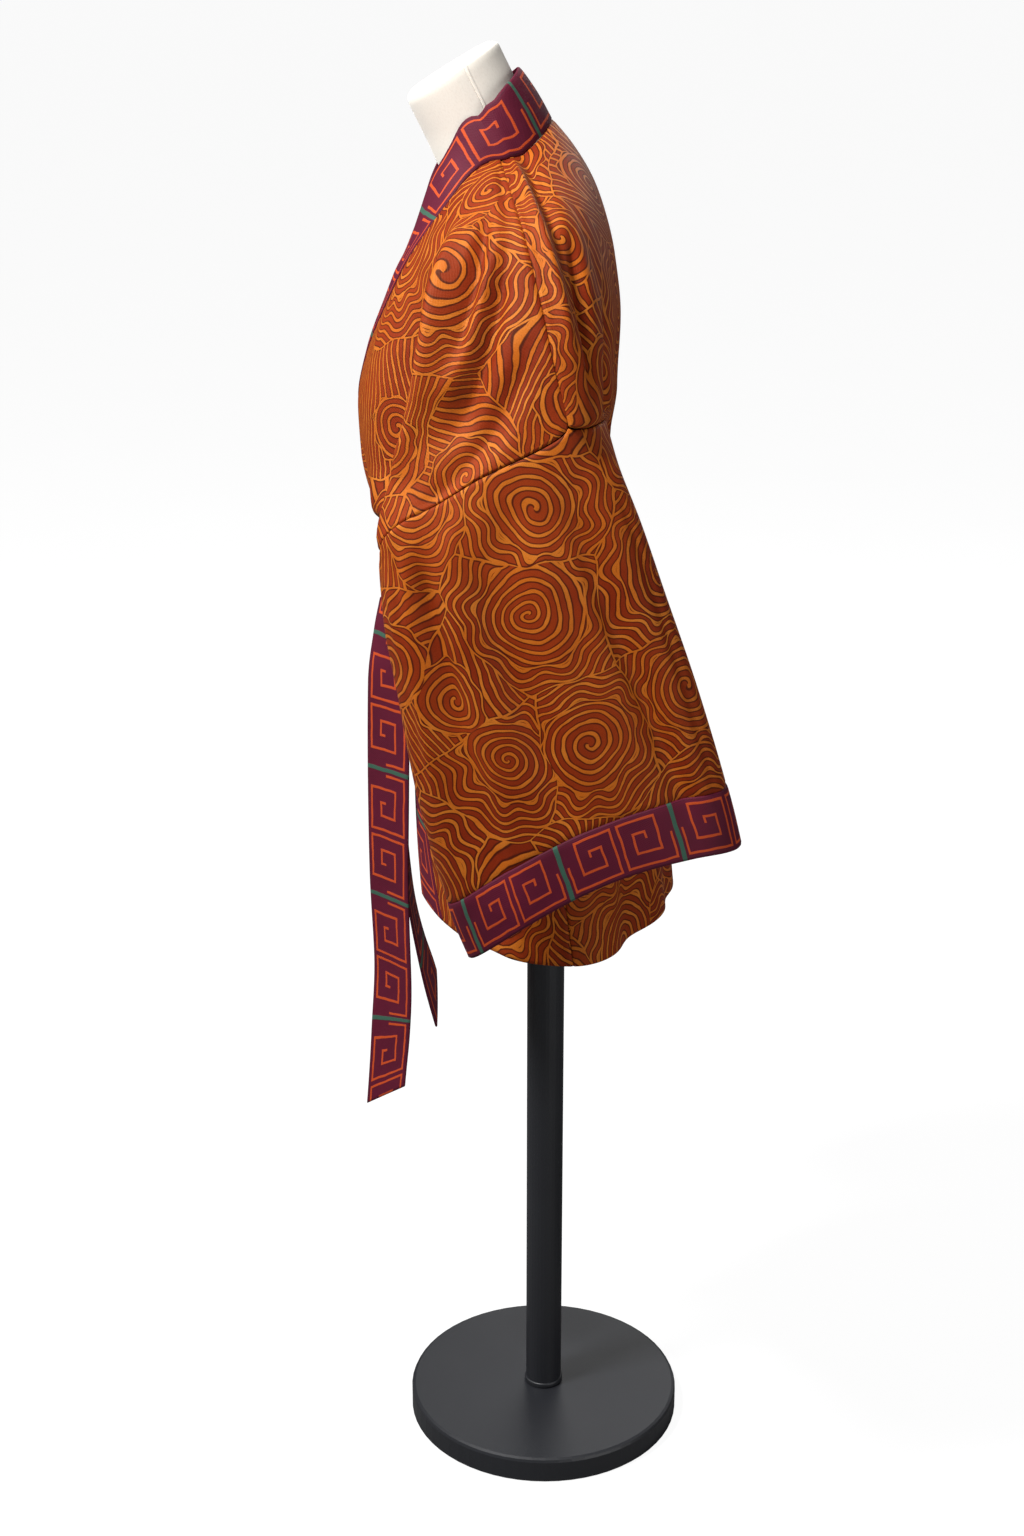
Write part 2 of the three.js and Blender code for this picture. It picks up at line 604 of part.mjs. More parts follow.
add("back", cloth(backPanel, CLOTH, true), "print");
for (const [side, word] of [[LEFT, "left"], [RIGHT, "right"]]) {
  const turned = side === RIGHT;
  const sleeve = tube(side, 0, CUFF_SEAM - CUFF_GAP, 11, 0);
  const cuff = tube(side, CUFF_SEAM + CUFF_GAP, CUFF_END, 2, CUFF_PROUD);
  add(`front_${word}`, cloth(frontPanel(side), CLOTH, turned), "print");
  add(`collar_${word}`, cloth(collar(side), TRIM, turned), "trim");
  add(`sleeve_${word}`, cloth(sleeve, CLOTH, turned, true), "print");
  add(`cuff_${word}`, cloth(cuff, TRIM, turned, true), "trim");
}
add("belt", cloth(belt, TRIM, false, true), "trim");
add("belt_knot", knot(), "trim");
add("belt_end_left", cloth(tail(LEFT_TAIL, -1), TRIM, false), "trim");
add("belt_end_right", cloth(tail(RIGHT_TAIL, 1), TRIM, false), "trim");

export default group;
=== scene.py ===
"""A hip-length kimono jacket, wrapped left over right and tied with its own belt, on a limbless dress form.

The jacket is cut from a swirl print in rust and gold, with a key-pattern trim on its collar, cuffs and belt.
The form is covered in pale jersey and stands on a satin black pole and a round base.
Sizes are millimetres until a mesh is made: +Z is up, the front faces -Y and +X is the wearer's left.
"""

import json
import logging
import math
from dataclasses import dataclass, field
from enum import Enum
from typing import Callable, Sequence

import bmesh
import bpy
import numpy as np
from mathutils import Euler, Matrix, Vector

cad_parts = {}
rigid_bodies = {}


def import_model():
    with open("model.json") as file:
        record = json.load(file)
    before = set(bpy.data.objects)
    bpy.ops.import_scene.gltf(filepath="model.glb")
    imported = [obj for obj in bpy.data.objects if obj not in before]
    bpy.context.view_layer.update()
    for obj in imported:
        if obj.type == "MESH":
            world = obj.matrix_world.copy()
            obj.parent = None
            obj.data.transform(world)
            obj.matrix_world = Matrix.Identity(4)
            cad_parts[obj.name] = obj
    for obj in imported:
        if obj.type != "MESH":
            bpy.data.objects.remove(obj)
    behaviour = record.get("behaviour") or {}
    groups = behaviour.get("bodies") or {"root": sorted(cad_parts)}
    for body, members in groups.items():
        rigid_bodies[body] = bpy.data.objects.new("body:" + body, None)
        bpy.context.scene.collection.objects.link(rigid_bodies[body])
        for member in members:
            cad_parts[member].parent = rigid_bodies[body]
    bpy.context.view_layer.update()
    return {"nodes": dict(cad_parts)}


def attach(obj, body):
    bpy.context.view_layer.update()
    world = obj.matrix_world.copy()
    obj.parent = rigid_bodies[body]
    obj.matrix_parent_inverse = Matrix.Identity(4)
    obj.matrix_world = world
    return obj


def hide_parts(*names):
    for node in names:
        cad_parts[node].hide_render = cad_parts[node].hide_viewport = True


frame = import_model()

log = logging.getLogger("kimono")

Array = np.ndarray
Objects = list[bpy.types.Object]
Socket = bpy.types.NodeSocket

MM = 0.001

CLOTH = 1.4  # wall of one layer of the printed cloth
TRIM = 2.4  # wall of the doubled trim
SEAM_GAP = 0.5  # room between two pieces that are sewn together
BAND_WIDTH = 56.0  # flat width of the trim
CUFF_REPEAT = 110.0  # length of the key pattern on the cuffs before it comes round again
BELT_REPEAT = 142.5  # and on the belt and the collar
OVERLAP_LIFT = 4.8  # how far the left front lies outside the right one
OVERLAP_ROWS = (0.9, 1.6)  # the row where it starts to, and how many rows it takes
OVERLAP_ANGLES = (66, 22)  # the angle where it stops, and how many degrees it takes
UNEVEN = 0.7  # height of the cloth's slight unevenness
BELT_PRESS = 0.75  # share of the creases that the belt presses flat
HEM = 13  # last row of the body
BELT_TOP = 9
BELT_FOOT = 10
SHOULDER_FOOT = 5
ARMHOLE_BACK = 6
ARMHOLE_FOOT = 7
ARMPIT = 8
GRID_STEP = 4.2  # spacing of the finished meshes' points
FINE_STEP = 3.4  # their spacing along the trim
ARMHOLE_STEP = 3.6  # their spacing round the armholes
SPAN_STEPS = 61  # points across a panel when its width is measured
TOUCH = 0.0003  # metres between two faces that touch


# ---------------------------------------------------------------- curves and tables
def clamp(value: Array) -> Array:
    """Keeps values between 0 and 1."""
    return np.clip(value, 0.0, 1.0)


def ease(value: Array) -> Array:
    """A soft step from 0 to 1."""
    c = clamp(np.asarray(value, float))
    return c * c * (3 - 2 * c)


def lerp(a: Array, b: Array, share: Array) -> Array:
    """The value this share of the way from a to b."""
    return a + (b - a) * share


def signed_power(value: Array, power: float) -> Array:
    """A power that keeps the sign."""
    return np.sign(value) * np.abs(value) ** power


def unit(vectors: Array) -> Array:
    """Vectors of length 1."""
    return vectors / np.maximum(np.linalg.norm(vectors, axis=-1, keepdims=True), 1e-12)


def through(values: Array, at: Array) -> Array:
    """Monotone cubic through evenly spaced values, so that no section bulges past its neighbours.

    Args:
        values: One entry a row, each a number or an array.
        at: The rows to read, of any shape.

    Returns:
        The values there, shaped as at and then as one entry.
    """
    values = np.asarray(values, float)
    rise = np.diff(values, axis=0)
    before, after = rise[:-1], rise[1:]
    total = np.where(before + after == 0, 1.0, before + after)
    middle = np.where(before * after > 0, 2 * before * after / total, 0.0)
    slope = np.concatenate([rise[:1], middle, rise[-1:]])
    at = np.asarray(at, float)
    i = np.clip(np.floor(at).astype(int), 0, len(values) - 2)
    t = (at - i).reshape(at.shape + (1,) * (values.ndim - 1))
    t2, t3 = t * t, t * t * t
    start = (2 * t3 - 3 * t2 + 1) * values[i] + (t3 - 2 * t2 + t) * slope[i]
    return start + (3 * t2 - 2 * t3) * values[i + 1] + (t3 - t2) * slope[i + 1]


class Table:
    """Rows of numbers with named columns."""

    def __init__(self, names: str, *rows: Sequence[float]) -> None:
        """Keeps each column as an array.

        Args:
            names: The columns' names, with spaces between.
            *rows: One sequence of numbers a row.
        """
        cells = np.array(rows, float)
        self.columns = {name: cells[:, i] for i, name in enumerate(names.split())}
        self.last = len(rows) - 1

    def at(self, name: str, row: Array) -> Array:
        """The column's value at any place between the rows."""
        return through(self.columns[name], row)

    def lines(self) -> list[dict[str, float]]:
        """Each row as a dictionary."""
        return [{n: float(c[i]) for n, c in self.columns.items()} for i in range(self.last + 1)]


PROBE = 0.02  # rows to each side of a point that its slope is taken from
FOLD_FADE = 0.3  # share of a fold's length over which it comes and goes


def fold_height(folds: Table, angle: Array, row: Array) -> Array:
    """Height of all folds at one place.

    Args:
        folds: Soft lines from (angle0, row0) to (angle1, row1), bowed by bow degrees halfway; deep is +
            for a ridge.
        angle: Degrees.
        row: Rows.

    Returns:
        Millimetres.
    """
    angle, row = np.broadcast_arrays(np.asarray(angle, float), np.asarray(row, float))
    height = np.zeros(angle.shape)
    for f in folds.lines():
        share = (row - f["row0"]) / (f["row1"] - f["row0"])
        line = lerp(f["angle0"], f["angle1"], share) + 4 * f.get("bow", 0.0) * share * (1 - share)
        away = (angle - line + 180) % 360 - 180
        fade = ease(share / FOLD_FADE) * ease((1 - share) / FOLD_FADE)
        strength = 1 - 0.5 * np.abs(share - f["sharpest"])
        height += f["deep"] * fade * strength * np.exp(-((away / f["wide"]) ** 2))
    return height


# ---------------------------------------------------------------- the jacket's sizes
# Rows of the body from the neck to the hem. centre is on the centre line, side and half are the oval's
# centre and half width, end is the row's outer end, and left and right are where the collar's seam crosses.
FRONT = Table(
    "centreY centreZ sideY endZ half round end left right",
    (-101, 1366, -46, 1395, 68, 1, 90, 67.6, 67.6),  # neck
    (-117, 1338, -38, 1378, 124, 1, 90, 82, 82),  # collarbone
    (-135, 1300, -26, 1348, 184, 0.95, 90, 72, 72),  # shoulder
    (-153, 1256, -10, 1290, 229, 0.85, 90, 50, 50),  # upper chest
    (-170, 1210, 2, 1237, 252, 0.85, 90, 24, 24),  # chest
    (-180, 1160, 13, 1192, 263, 0.8, 90, -2, -4),  # bust
    (-178, 1122, -13, 1139, 274, 0.7, 75, -20, -24),  # under bust
    (-168, 1087, -94, 1077, 285, 0.5, 57.4, -33, -40),  # armhole foot
    (-155, 1050, -46, 1066, 172, 0.95, 90, -47, -52),  # armpit
    (-138, 1014, -47, 1014, 134, 0.9, 90, -60, -58),  # belt top
    (-137, 956, -46, 956, 134, 0.9, 90, -58, -60),  # belt foot
    (-134, 890, -24, 890, 158, 0.9, 90, -8, -62),  # high hip
    (-131, 800, 2, 798, 179, 0.9, 90, 58, -64),  # hip
    (-130, 664, 24, 640, 188, 0.95, 90, 112, -66),  # hem
)
BACK = Table(
    "centreY centreZ sideY endZ half round end",
    (1, 1425, -46, 1395, 68, 1, 90),  # neck
    (22, 1400, -38, 1378, 124, 1, 90),  # nape
    (45, 1360, -26, 1348, 184, 0.95, 90),  # shoulder
    (61, 1304, -10, 1290, 229, 0.85, 90),  # blades
    (67, 1252, 2, 1237, 252, 0.8, 90),  # upper back
    (65, 1212, 13, 1192, 263, 0.75, 90),  # mid back
    (64, 1186, 13, 1186, 234, 0.6, 59),  # armhole back
    (60, 1142, -37, 1130, 188, 0.8, 74.4),  # armhole inside
    (54, 1084, -46, 1066, 172, 0.9, 90),  # armpit
    (43, 1014, -47, 1014, 134, 0.9, 90),  # belt top
    (46, 956, -46, 956, 134, 0.9, 90),  # belt foot
    (84, 890, -24, 890, 158, 0.9, 90),  # high hip
    (116, 800, 2, 798, 179, 0.95, 90),  # hip
    (132, 654, 24, 640, 188, 1.1, 90),  # hem
)
# The largest folds. wide is in degrees and deep in millimetres, and sharpest is where along its length a fold
# is strongest.
FRONT_FOLDS = Table(
    "angle0 row0 angle1 row1 wide deep sharpest",
    (41, 1.6, 35, 8, 9.5, -34, 0.7),  # valley before the arm
    (60, 1.2, 54, 7.3, 8, 13, 0.6),  # ridge of the arm
    (78, 1.8, 66, 5.9, 7, -8, 0.5),  # hollow over the arm
    (40, 7.6, 50, 9.2, 6, -5, 0.5),  # tuck at the belt
    (52, 10, 62, 13.6, 7, -7, 0.7),  # skirt trough
)
BACK_FOLDS = Table(
    "angle0 row0 angle1 row1 wide deep sharpest",
    (78, -0.4, 79, 4.2, 4.5, 8, 0.35),  # ridge behind the seam
    (66, -0.4, 67, 4.6, 6, -9, 0.35),  # hollow behind the ridge
    (30, 3.2, 22, 9.2, 7, -6, 0.6),  # blade trough
    (14, 10, 18, 13.8, 6, -7, 0.8),  # skirt trough inner
    (44, 10, 50, 14.2, 13, -17, 0.85),  # skirt trough outer
)
# Ovals of a sleeve from the armhole to the cuff's end; arch and sag lift their outer and inner middles.
SLEEVE = Table(
    "frontY frontZ backY backZ outer inner arch sag rightBack",
    (-149, 1077, 50, 1186, 268, 176, 0, 0, 0),  # armhole
    (-155, 1056, 60, 1148, 280, 187, 6, 50, -8),  # cap
    (-152, 1008, 77, 1105, 290, 192, 12, 40, -20),  # upper
    (-140, 938, 101, 1037, 299, 196, 18, 12, -34),  # elbow
    (-125, 853, 131, 954, 306, 200, 25, -6, -38),  # lower
    (-96, 741, 161, 859, 311, 203, 33, -11, -36),  # cuff seam
    (-77, 687, 176, 802, 313, 205, 37, -13, -34),  # cuff end
)
SLEEVE_FOLDS = Table(
    "angle0 row0 angle1 row1 wide deep sharpest",
    (52, 0.2, 42, 5.6, 9, -9, 0.35),  # front trough
    (92, 0.2, 84, 5.0, 10, -6, 0.3),  # middle trough
    (128, 0.6, 134, 6.6, 10, -7, 0.6),  # back trough
    (270, 0.8, 262, 6.4, 16, -9, 0.6),  # inner trough
)
# Ovals of the form from its underside to the neck's cap, which leans forward.
FORM = Table(
    "y z deep wide lean",
    (4, 668, 92, 140, 0),  # underside
    (2, 676, 101, 151, 0),  # foot
    (-8, 800, 104, 165, 0),  # hip
    (-28, 890, 90, 144, 0),  # high hip
    (-47, 985, 81, 124, 0),  # waist
    (-52, 1070, 89, 136, 0),  # ribs
    (-60, 1150, 112, 152, 0),  # bust
    (-51, 1210, 108, 160, 2),  # chest
    (-44, 1256, 100, 168, 4),  # upper chest
    (-34, 1300, 90, 171, 6),  # shoulder
    (-33, 1332, 82.3, 164.6, 8),  # shoulder top
    (-37, 1358, 70.3, 124.6, 12),  # slope
    (-48, 1382, 53, 66, 17),  # neck root
    (-60, 1404, 50, 50, 22),  # neck low
    (-73, 1431, 49.5, 46.5, 26),  # neck
    (-89, 1463, 49.5, 46, 30),  # neck top
    (-92, 1470, 47, 43.5, 30.6),  # cap edge
    (-93.5, 1473, 41, 37.5, 30.6),  # cap
)
# How far the collar's free edge stands from its seam, every quarter row from the centre back.
STANDING = Table(
    "inward forward up",
    (0, 30, 46),  # centre back
    (1, 29, 47),
    (2, 28, 48),  # back quarter
    (8, 25, 46.5),
    (17, 21, 37),  # side
    (27, 19, 24),
    (34, 18, 19),  # front quarter
    (41, 17, 18),
    (46, 16, 17),  # collarbone
    (48, 15.5, 11),
    (48, 15, 6),  # chest
)
# The middle of each belt end and the direction across it, from the knot down.
LEFT_TAIL = Table(
    "x y z acrossX acrossY width",
    (16, -159.5, 958.2, 0.92, 0.39, 40),
    (20, -160, 925, 0.8, 0.6, 50),
    (22, -161, 870, 0.66, 0.75, 56),
    (23, -162.5, 770, 0.64, 0.77, 56),
    (22, -163.5, 660, 0.66, 0.75, 56),
    (20, -162, 560, 0.7, 0.71, 56),
    (18, -166, 480, 0.66, 0.75, 56),
    (17, -172, 405, 0.64, 0.77, 56),
)
RIGHT_TAIL = Table(
    "x y z acrossX acrossY width",
    (-22, -157, 958.2, 1, 0, 38),
    (-33, -158, 925, 1, -0.06, 48),
    (-40, -157, 870, 1, -0.08, 56),
    (-42, -155, 790, 1, -0.06, 56),
    (-42, -152, 700, 1, -0.04, 56),
    (-41, -145, 620, 1, 0, 56),
    (-38, -133, 550, 1, 0.02, 56),
    (-36, -119, 494, 1, 0.03, 56),
)
# The finer creases, each placed on its own: a positive angle is on the wearer's left.
CREASE = "angle0 row0 angle1 row1 bow wide deep sharpest"
FRONT_CREASES = Table(
    CREASE,
    (60, 1.4, 50, 7.0, 1, 3.6, 12.0, 0.5),
    (51, 1.5, 44, 6.6, 1, 3.4, -15.0, 0.5),
    (77, 1.3, 63, 4.3, -2, 3.0, -9.0, 0.5),
    (87, 1.8, 63, 5.6, -3, 3.2, -8.0, 0.5),
    (81, 1.8, 61, 4.9, -2, 2.8, 5.0, 0.5),
    (88, 3.2, 66, 7.0, -2, 3.6, -7.5, 0.5),
    (86, 0.2, 82, 2.3, 1, 3.2, -3.5, 0.2),
    (-59, 1.5, -50, 7.4, -1, 3.6, 7.5, 0.5),
    (-50, 2.1, -44, 7.6, -1, 3.4, -8.0, 0.6),
    (-80, 1.2, -60, 4.2, 3, 3.2, -8.5, 0.4),
    (-87, 2.4, -66, 6.6, 2, 3.6, -8.0, 0.5),
    (-74, 2.0, -58, 5.2, 2, 3.0, 3.0, 0.5),
    (-88, 0.3, -83, 2.0, -1, 3.0, -3.0, 0.2),
    (52, 1.0, 31, 4.4, 4, 4.5, -2.2, 0.4),
    (44, 1.6, 24, 5.4, -3, 3.6, 1.6, 0.6),
    (-49, 1.1, -28, 4.8, -4, 4.8, -2.4, 0.5),
    (-40, 2.0, -20, 5.2, 2, 3.4, 1.5, 0.5),
    (20, 5.2, 9, 9.1, 3, 4.0, -2.8, 0.7),
    (30, 5.9, 19, 9.2, -2, 3.2, 2.4, 0.8),
    (44, 6.6, 33, 9.1, 2, 3.6, -2.2, 0.7),
    (-16, 5.4, -8, 9.1, -3, 4.2, -2.6, 0.7),
    (-29, 6.1, -21, 9.2, 2, 3.0, 2.2, 0.8),
    (-41, 6.9, -36, 9.1, -1, 3.8, -2.6, 0.6),
    (66, 7.6, 70, 9.1, 1, 4.0, -3.0, 0.7),
    (-63, 7.5, -68, 9.1, -1, 4.4, -2.8, 0.7),
    (3, 7.0, 1, 9.1, 1, 2.8, 1.8, 0.7),
    (14, 10.0, 20, 12.4, 2, 3.8, -2.8, 0.3),
    (31, 9.9, 36, 13.2, -2, 4.2, 2.6, 0.4),
    (74, 9.9, 78, 12.8, 2, 4.6, -3.2, 0.4),
    (-12, 10.0, -17, 12.0, -2, 3.4, -2.2, 0.3),
    (-34, 9.9, -41, 13.6, 3, 4.4, -3.4, 0.4),
    (-60, 10.0, -66, 12.2, -2, 3.8, 2.4, 0.3),
    (-79, 9.9, -76, 13.0, 1, 4.4, -3.0, 0.4),
)
BACK_CREASES = Table(
    CREASE,
    (54, 1.8, 70, 4.8, 2, 3.4, -7.5, 0.5),
    (62, 1.6, 74, 4.6, 1, 3.0, 3.0, 0.5),
    (40, 3.0, 56, 6.0, 3, 3.8, -6.0, 0.6),
    (-58, 1.4, -76, 4.8, -2, 3.6, -7.5, 0.6),
    (-44, 3.0, -57, 6.2, -3, 3.8, -6.0, 0.6),
    (3, 2.8, 6, 7.6, -2, 4.0, -1.8, 0.5),
    (-16, 3.6, -9, 8.9, 3, 4.2, -2.4, 0.7),
    (47, 1.4, 36, 5.2, 3, 4.4, -2.0, 0.4),
    (-52, 1.2, -38, 4.6, -3, 4.6, -2.2, 0.4),
    (-45, 2.6, -30, 7.4, 4, 3.4, 1.8, 0.6),
    (17, 5.4, 11, 9.1, 2, 3.0, 2.4, 0.8),
    (35, 5.8, 24, 9.1, -3, 3.8, -3.0, 0.7),
    (48, 6.6, 41, 9.1, 1, 3.2, 2.6, 0.7),
    (-33, 6.2, -25, 9.1, 2, 3.6, -2.8, 0.7),
    (-55, 6.8, -47, 9.1, -2, 3.6, -2.6, 0.7),
    (68, 7.6, 62, 9.1, 1, 3.8, -2.6, 0.7),
    (-2, 6.6, 0, 9.1, 1, 2.8, 2.0, 0.8),
    (1, 9.9, -4, 12.6, 2, 4.2, -3.2, 0.4),
    (24, 9.9, 29, 12.4, -2, 3.6, 2.8, 0.3),
    (-21, 9.9, -27, 13.4, 3, 4.4, 3.0, 0.4),
    (-36, 10.0, -38, 12.2, -1, 3.6, -3.0, 0.3),
    (63, 9.9, 68, 13.2, 2, 4.4, -3.4, 0.4),
    (76, 10.0, 80, 12.2, 1, 3.4, 2.4, 0.3),
    (-58, 9.9, -64, 13.6, -2, 4.8, -3.6, 0.5),
    (-77, 10.0, -80, 12.4, 1, 3.4, 2.6, 0.3),
)
SLEEVE_CREASES = {
    1: Table(
        CREASE,
        (76, 1.2, 88, 5.4, -3, 4.6, -7.0, 0.5),
        (42, 0.6, 55, 5.8, 4, 5.4, -8.0, 0.5),
        (122, 0.5, 138, 5.6, -4, 5.6, -6.5, 0.5),
        (18, 0.5, 34, 4.6, 2, 5.0, 3.5, 0.4),
        (112, 0.3, 100, 4.6, 6, 5.5, -2.6, 0.4),
        (70, 0.1, 66, 3.2, -3, 4.6, 2.2, 0.3),
        (30, 0.2, 22, 4.4, 3, 4.4, -2.4, 0.4),
        (140, 0.2, 150, 3.4, -4, 5.0, 2.0, 0.3),
        (158, 0.8, 152, 5.6, 4, 4.6, -2.6, 0.6),
        (62, 2.2, 58, 6.4, -2, 4.2, 1.8, 0.7),
        (205, 0.6, 212, 5.0, 4, 7.0, -3.0, 0.4),
        (238, 0.3, 232, 4.0, -3, 5.5, 2.4, 0.4),
        (300, 0.4, 306, 5.4, 3, 7.0, -3.2, 0.5),
        (331, 0.3, 326, 3.8, -3, 5.0, 2.2, 0.4),
    ),
    -1: Table(
        CREASE,
        (62, 0.9, 80, 5.7, 3, 5.2, -7.0, 0.5),
        (118, 1.0, 124, 5.4, -5, 5.6, -6.5, 0.5),
        (38, 0.4, 44, 4.4, 3, 5.0, -3.8, 0.4),
        (104, 0.3, 96, 3.8, -5, 5.5, -2.8, 0.4),
        (76, 0.1, 60, 4.4, 3, 4.6, 2.0, 0.4),
        (24, 0.2, 30, 3.6, -3, 4.4, -2.2, 0.4),
        (146, 0.3, 142, 4.8, 4, 5.0, 2.4, 0.5),
        (166, 1.4, 158, 6.2, -3, 4.6, -2.4, 0.6),
        (82, 2.8, 74, 6.4, 2, 4.2, -1.8, 0.7),
        (212, 0.5, 204, 4.2, -4, 7.0, -3.0, 0.4),
        (246, 0.3, 250, 5.0, 3, 5.5, 2.2, 0.4),
        (296, 0.4, 290, 4.6, -3, 7.0, -3.0, 0.5),
    ),
}


# ---------------------------------------------------------------- surfaces
class Side(Enum):
    """The wearer's side that a piece is on."""

    LEFT = 1
    RIGHT = -1

    @property
    def word(self) -> str:
        """The side's name in lower case."""
        return self.name.lower()


@dataclass(frozen=True)
class Part:
    """One half of the body, front or back, as one continuous surface."""

    rows: Table
    folds: Table
    creases: Table
    facing: int
    phase: float

    def base(self, angle: Array, row: Array) -> Array:
        """Point of the unfolded body; angle in degrees from the centre line.

        Args:
            angle: Degrees from the centre line.
            row: Rows.

        Returns:
            The points in millimetres.
        """
        end, side_y = self.rows.at("end", row), self.rows.at("sideY", row)
        share = np.minimum(1.2, np.abs(angle) / end)
        turned = np.radians(angle)
        depth = np.maximum(0.0, np.cos(turned)) ** self.rows.at("round", row)
        x = self.rows.at("half", row) * np.sin(turned)
        y = side_y + (self.rows.at("centreY", row) - side_y) * depth
        z = lerp(self.rows.at("centreZ", row), self.rows.at("endZ", row), ease(share))
        return np.stack(np.broadcast_arrays(x, y, z), axis=-1)

    def relief(self, side: int, angle: Array, row: Array) -> Array:
        """Height of the folds, creases and slight unevenness, pressed flatter under the belt.

        Args:
            side: 1 on the wearer's left and -1 on the right.
            angle: Degrees from the centre line.
            row: Rows.

        Returns:
            Millimetres.
        """
        own = side * angle
        pressed = 1 - BELT_PRESS * ease((row - BELT_TOP + 0.2) / 0.4) * ease((BELT_FOOT + 0.2 - row) / 0.4)
        waves = np.sin(own * 0.115 + self.phase) * np.sin(row * 1.9 + 0.045 * own)
        waves = 0.5 + 0.32 * waves + 0.18 * np.sin(own * 0.27 - row * 2.7 + self.phase)
        fine = fold_height(self.creases, own, row) + UNEVEN * waves
        return fold_height(self.folds, np.abs(angle), row) + fine * pressed

    def point(self, side: int, angle: Array, row: Array, lift: Array = 0.0) -> Array:
        """Point of the cloth, raised over its own face by lift and mirrored for the right side.

        Args:
            side: 1 on the wearer's left and -1 on the right.
            angle: Degrees from the centre line.
            row: Rows.
            lift: Height over the face in millimetres.

        Returns:
            The points in millimetres.
        """
        angle, row = np.broadcast_arrays(np.asarray(angle, float), np.asarray(row, float))
        inside = np.clip(row, PROBE, HEM - PROBE)
        across = self.base(angle + 0.5, inside) - self.base(angle - 0.5, inside)
        down = self.base(angle, inside + PROBE) - self.base(angle, inside - PROBE)
        normal = unit(np.cross(across, down)) * self.facing
        height = self.relief(side, angle, row) + lift
        return (self.base(angle, row) + normal * height[..., None]) * np.array([side, 1, 1])


FRONT_PART = Part(FRONT, FRONT_FOLDS, FRONT_CREASES, -1, 0.6)
BACK_PART = Part(BACK, BACK_FOLDS, BACK_CREASES, 1, 2.1)


def front_point(side: int, angle: Array, row: Array, lift: Array = 0.0) -> Array:
    """Point of a front; the left one lies outside the right one.

    Args:
        side: 1 on the wearer's left and -1 on the right.
        angle: Degrees from the centre line.
        row: Rows.
        lift: Height over the face in millimetres.

    Returns:
        The points in millimetres.
    """
    starts = ease((row - OVERLAP_ROWS[0]) / OVERLAP_ROWS[1])
    over = OVERLAP_LIFT * starts * (1 - ease((angle - OVERLAP_ANGLES[0]) / OVERLAP_ANGLES[1]))
    return FRONT_PART.point(side, angle, row, lift + (over if side == Side.LEFT.value else 0.0))


def collar_angle(side: int, row: Array) -> Array:
    """Angle of the collar's seam on a front."""
    across = FRONT.at("left" if side == Side.LEFT.value else "right", row)
    return np.degrees(np.arcsin(np.clip(across / FRONT.at("half", row), -1, 1)))


def turn(length: Array, row: Array) -> Array:
    """The angle that is this many millimetres along a row of the front."""
    return np.degrees(length / FRONT.at("half", row))


def stations(marks: Sequence[float], place: Callable[[Array], Array], step: float = GRID_STEP) -> Array:
    """Rows at even distances between the marks, each mark among them.

    Args:
        marks: Rows that have to be there.
        place: Gives the points at rows, along the line that is measured.
        step: The distance, in millimetres.

    Returns:
        The rows.
    """
    found = [np.array([marks[0]], float)]
    for low, high in zip(marks, marks[1:]):
        fine = np.linspace(low, high, 33)
        along = np.concatenate([[0], np.cumsum(np.linalg.norm(np.diff(place(fine), axis=0), axis=1))])
        count = max(1, round(along[-1] / step))
        found.append(np.interp(np.linspace(0, along[-1], count + 1)[1:], along, fine))
    return np.concatenate(found)


EDGE_STEPS = np.array([0.0, 0.7, 1.6, 3.0, 5.2])  # how far from a sewn edge its first points lie


def seamed(length: Array, count: int) -> Array:
    """Shares from 0 to 1 along each row, closer together at both ends.

    Args:
        length: Each row's length in millimetres.
        count: How many shares a row has.

    Returns:
        One line of shares a row.
    """
    ends = EDGE_STEPS[None] / length[:, None]
    inner = np.linspace(0, 1, count - 2 * len(EDGE_STEPS) + 2)[1:-1]
    middle = lerp(ends[:, -1:], 1 - ends[:, -1:], inner[None])
    return np.concatenate([ends, middle, 1 - ends[:, ::-1]], axis=1)


def sewn_edge(away: Array, along: Array, depth: float = 1.0) -> Array:
    """Height of the cloth by a seam: it turns in at the stitches and puckers a little.

    Args:
        away: Distance from the seam in millimetres.
        along: Distance along the seam in millimetres.
        depth: How far the edge turns in.

    Returns:
        Millimetres.
    """
    pucker = np.sin(along * 0.47 + 0.8) + 0.7 * np.sin(along * 0.83 + 2.2 * np.sin(along * 0.061))
    return -depth * np.exp(-((away / 1.5) ** 2)) + 0.26 * pucker * np.exp(-away / 7.0) * ease(away / 3.0)


HEM_TURN = 21.0  # how far up the hem's stitches run


def hem_edge(away: Array, along: Array) -> Array:
    """Height of a turned hem: fuller below its line of stitches, which sink in a little."""
    stitches = -0.55 * np.exp(-(((away - HEM_TURN) / 1.6) ** 2)) * (0.8 + 0.2 * np.sin(along * 1.1))
    return 0.45 * ease((HEM_TURN - away) / 3.0) + stitches


# ---------------------------------------------------------------- meshes
def no_selection() -> None:
    """Deselects every object."""
    for obj in bpy.context.view_layer.objects:
        obj.select_set(False)


def select_only(obj: bpy.types.Object) -> None:
    """Selects this object alone and makes it active.

    Args:
        obj: The object.
    """
    no_selection()
    obj.select_set(True)
    bpy.context.view_layer.objects.active = obj


def lengths(grid: Array, axis: int) -> Array:
    """Distance along a grid's axis, from its first line.

    Args:
        grid: Points.
        axis: 0 to walk down the rows, 1 to walk across the columns.

    Returns:
        The distances, shaped as the grid.
    """
    steps = np.linalg.norm(np.diff(grid, axis=axis), axis=-1)
    start = np.zeros_like(np.take(steps, [0], axis=axis))
    return np.cumsum(np.concatenate([start, steps], axis=axis), axis=axis)


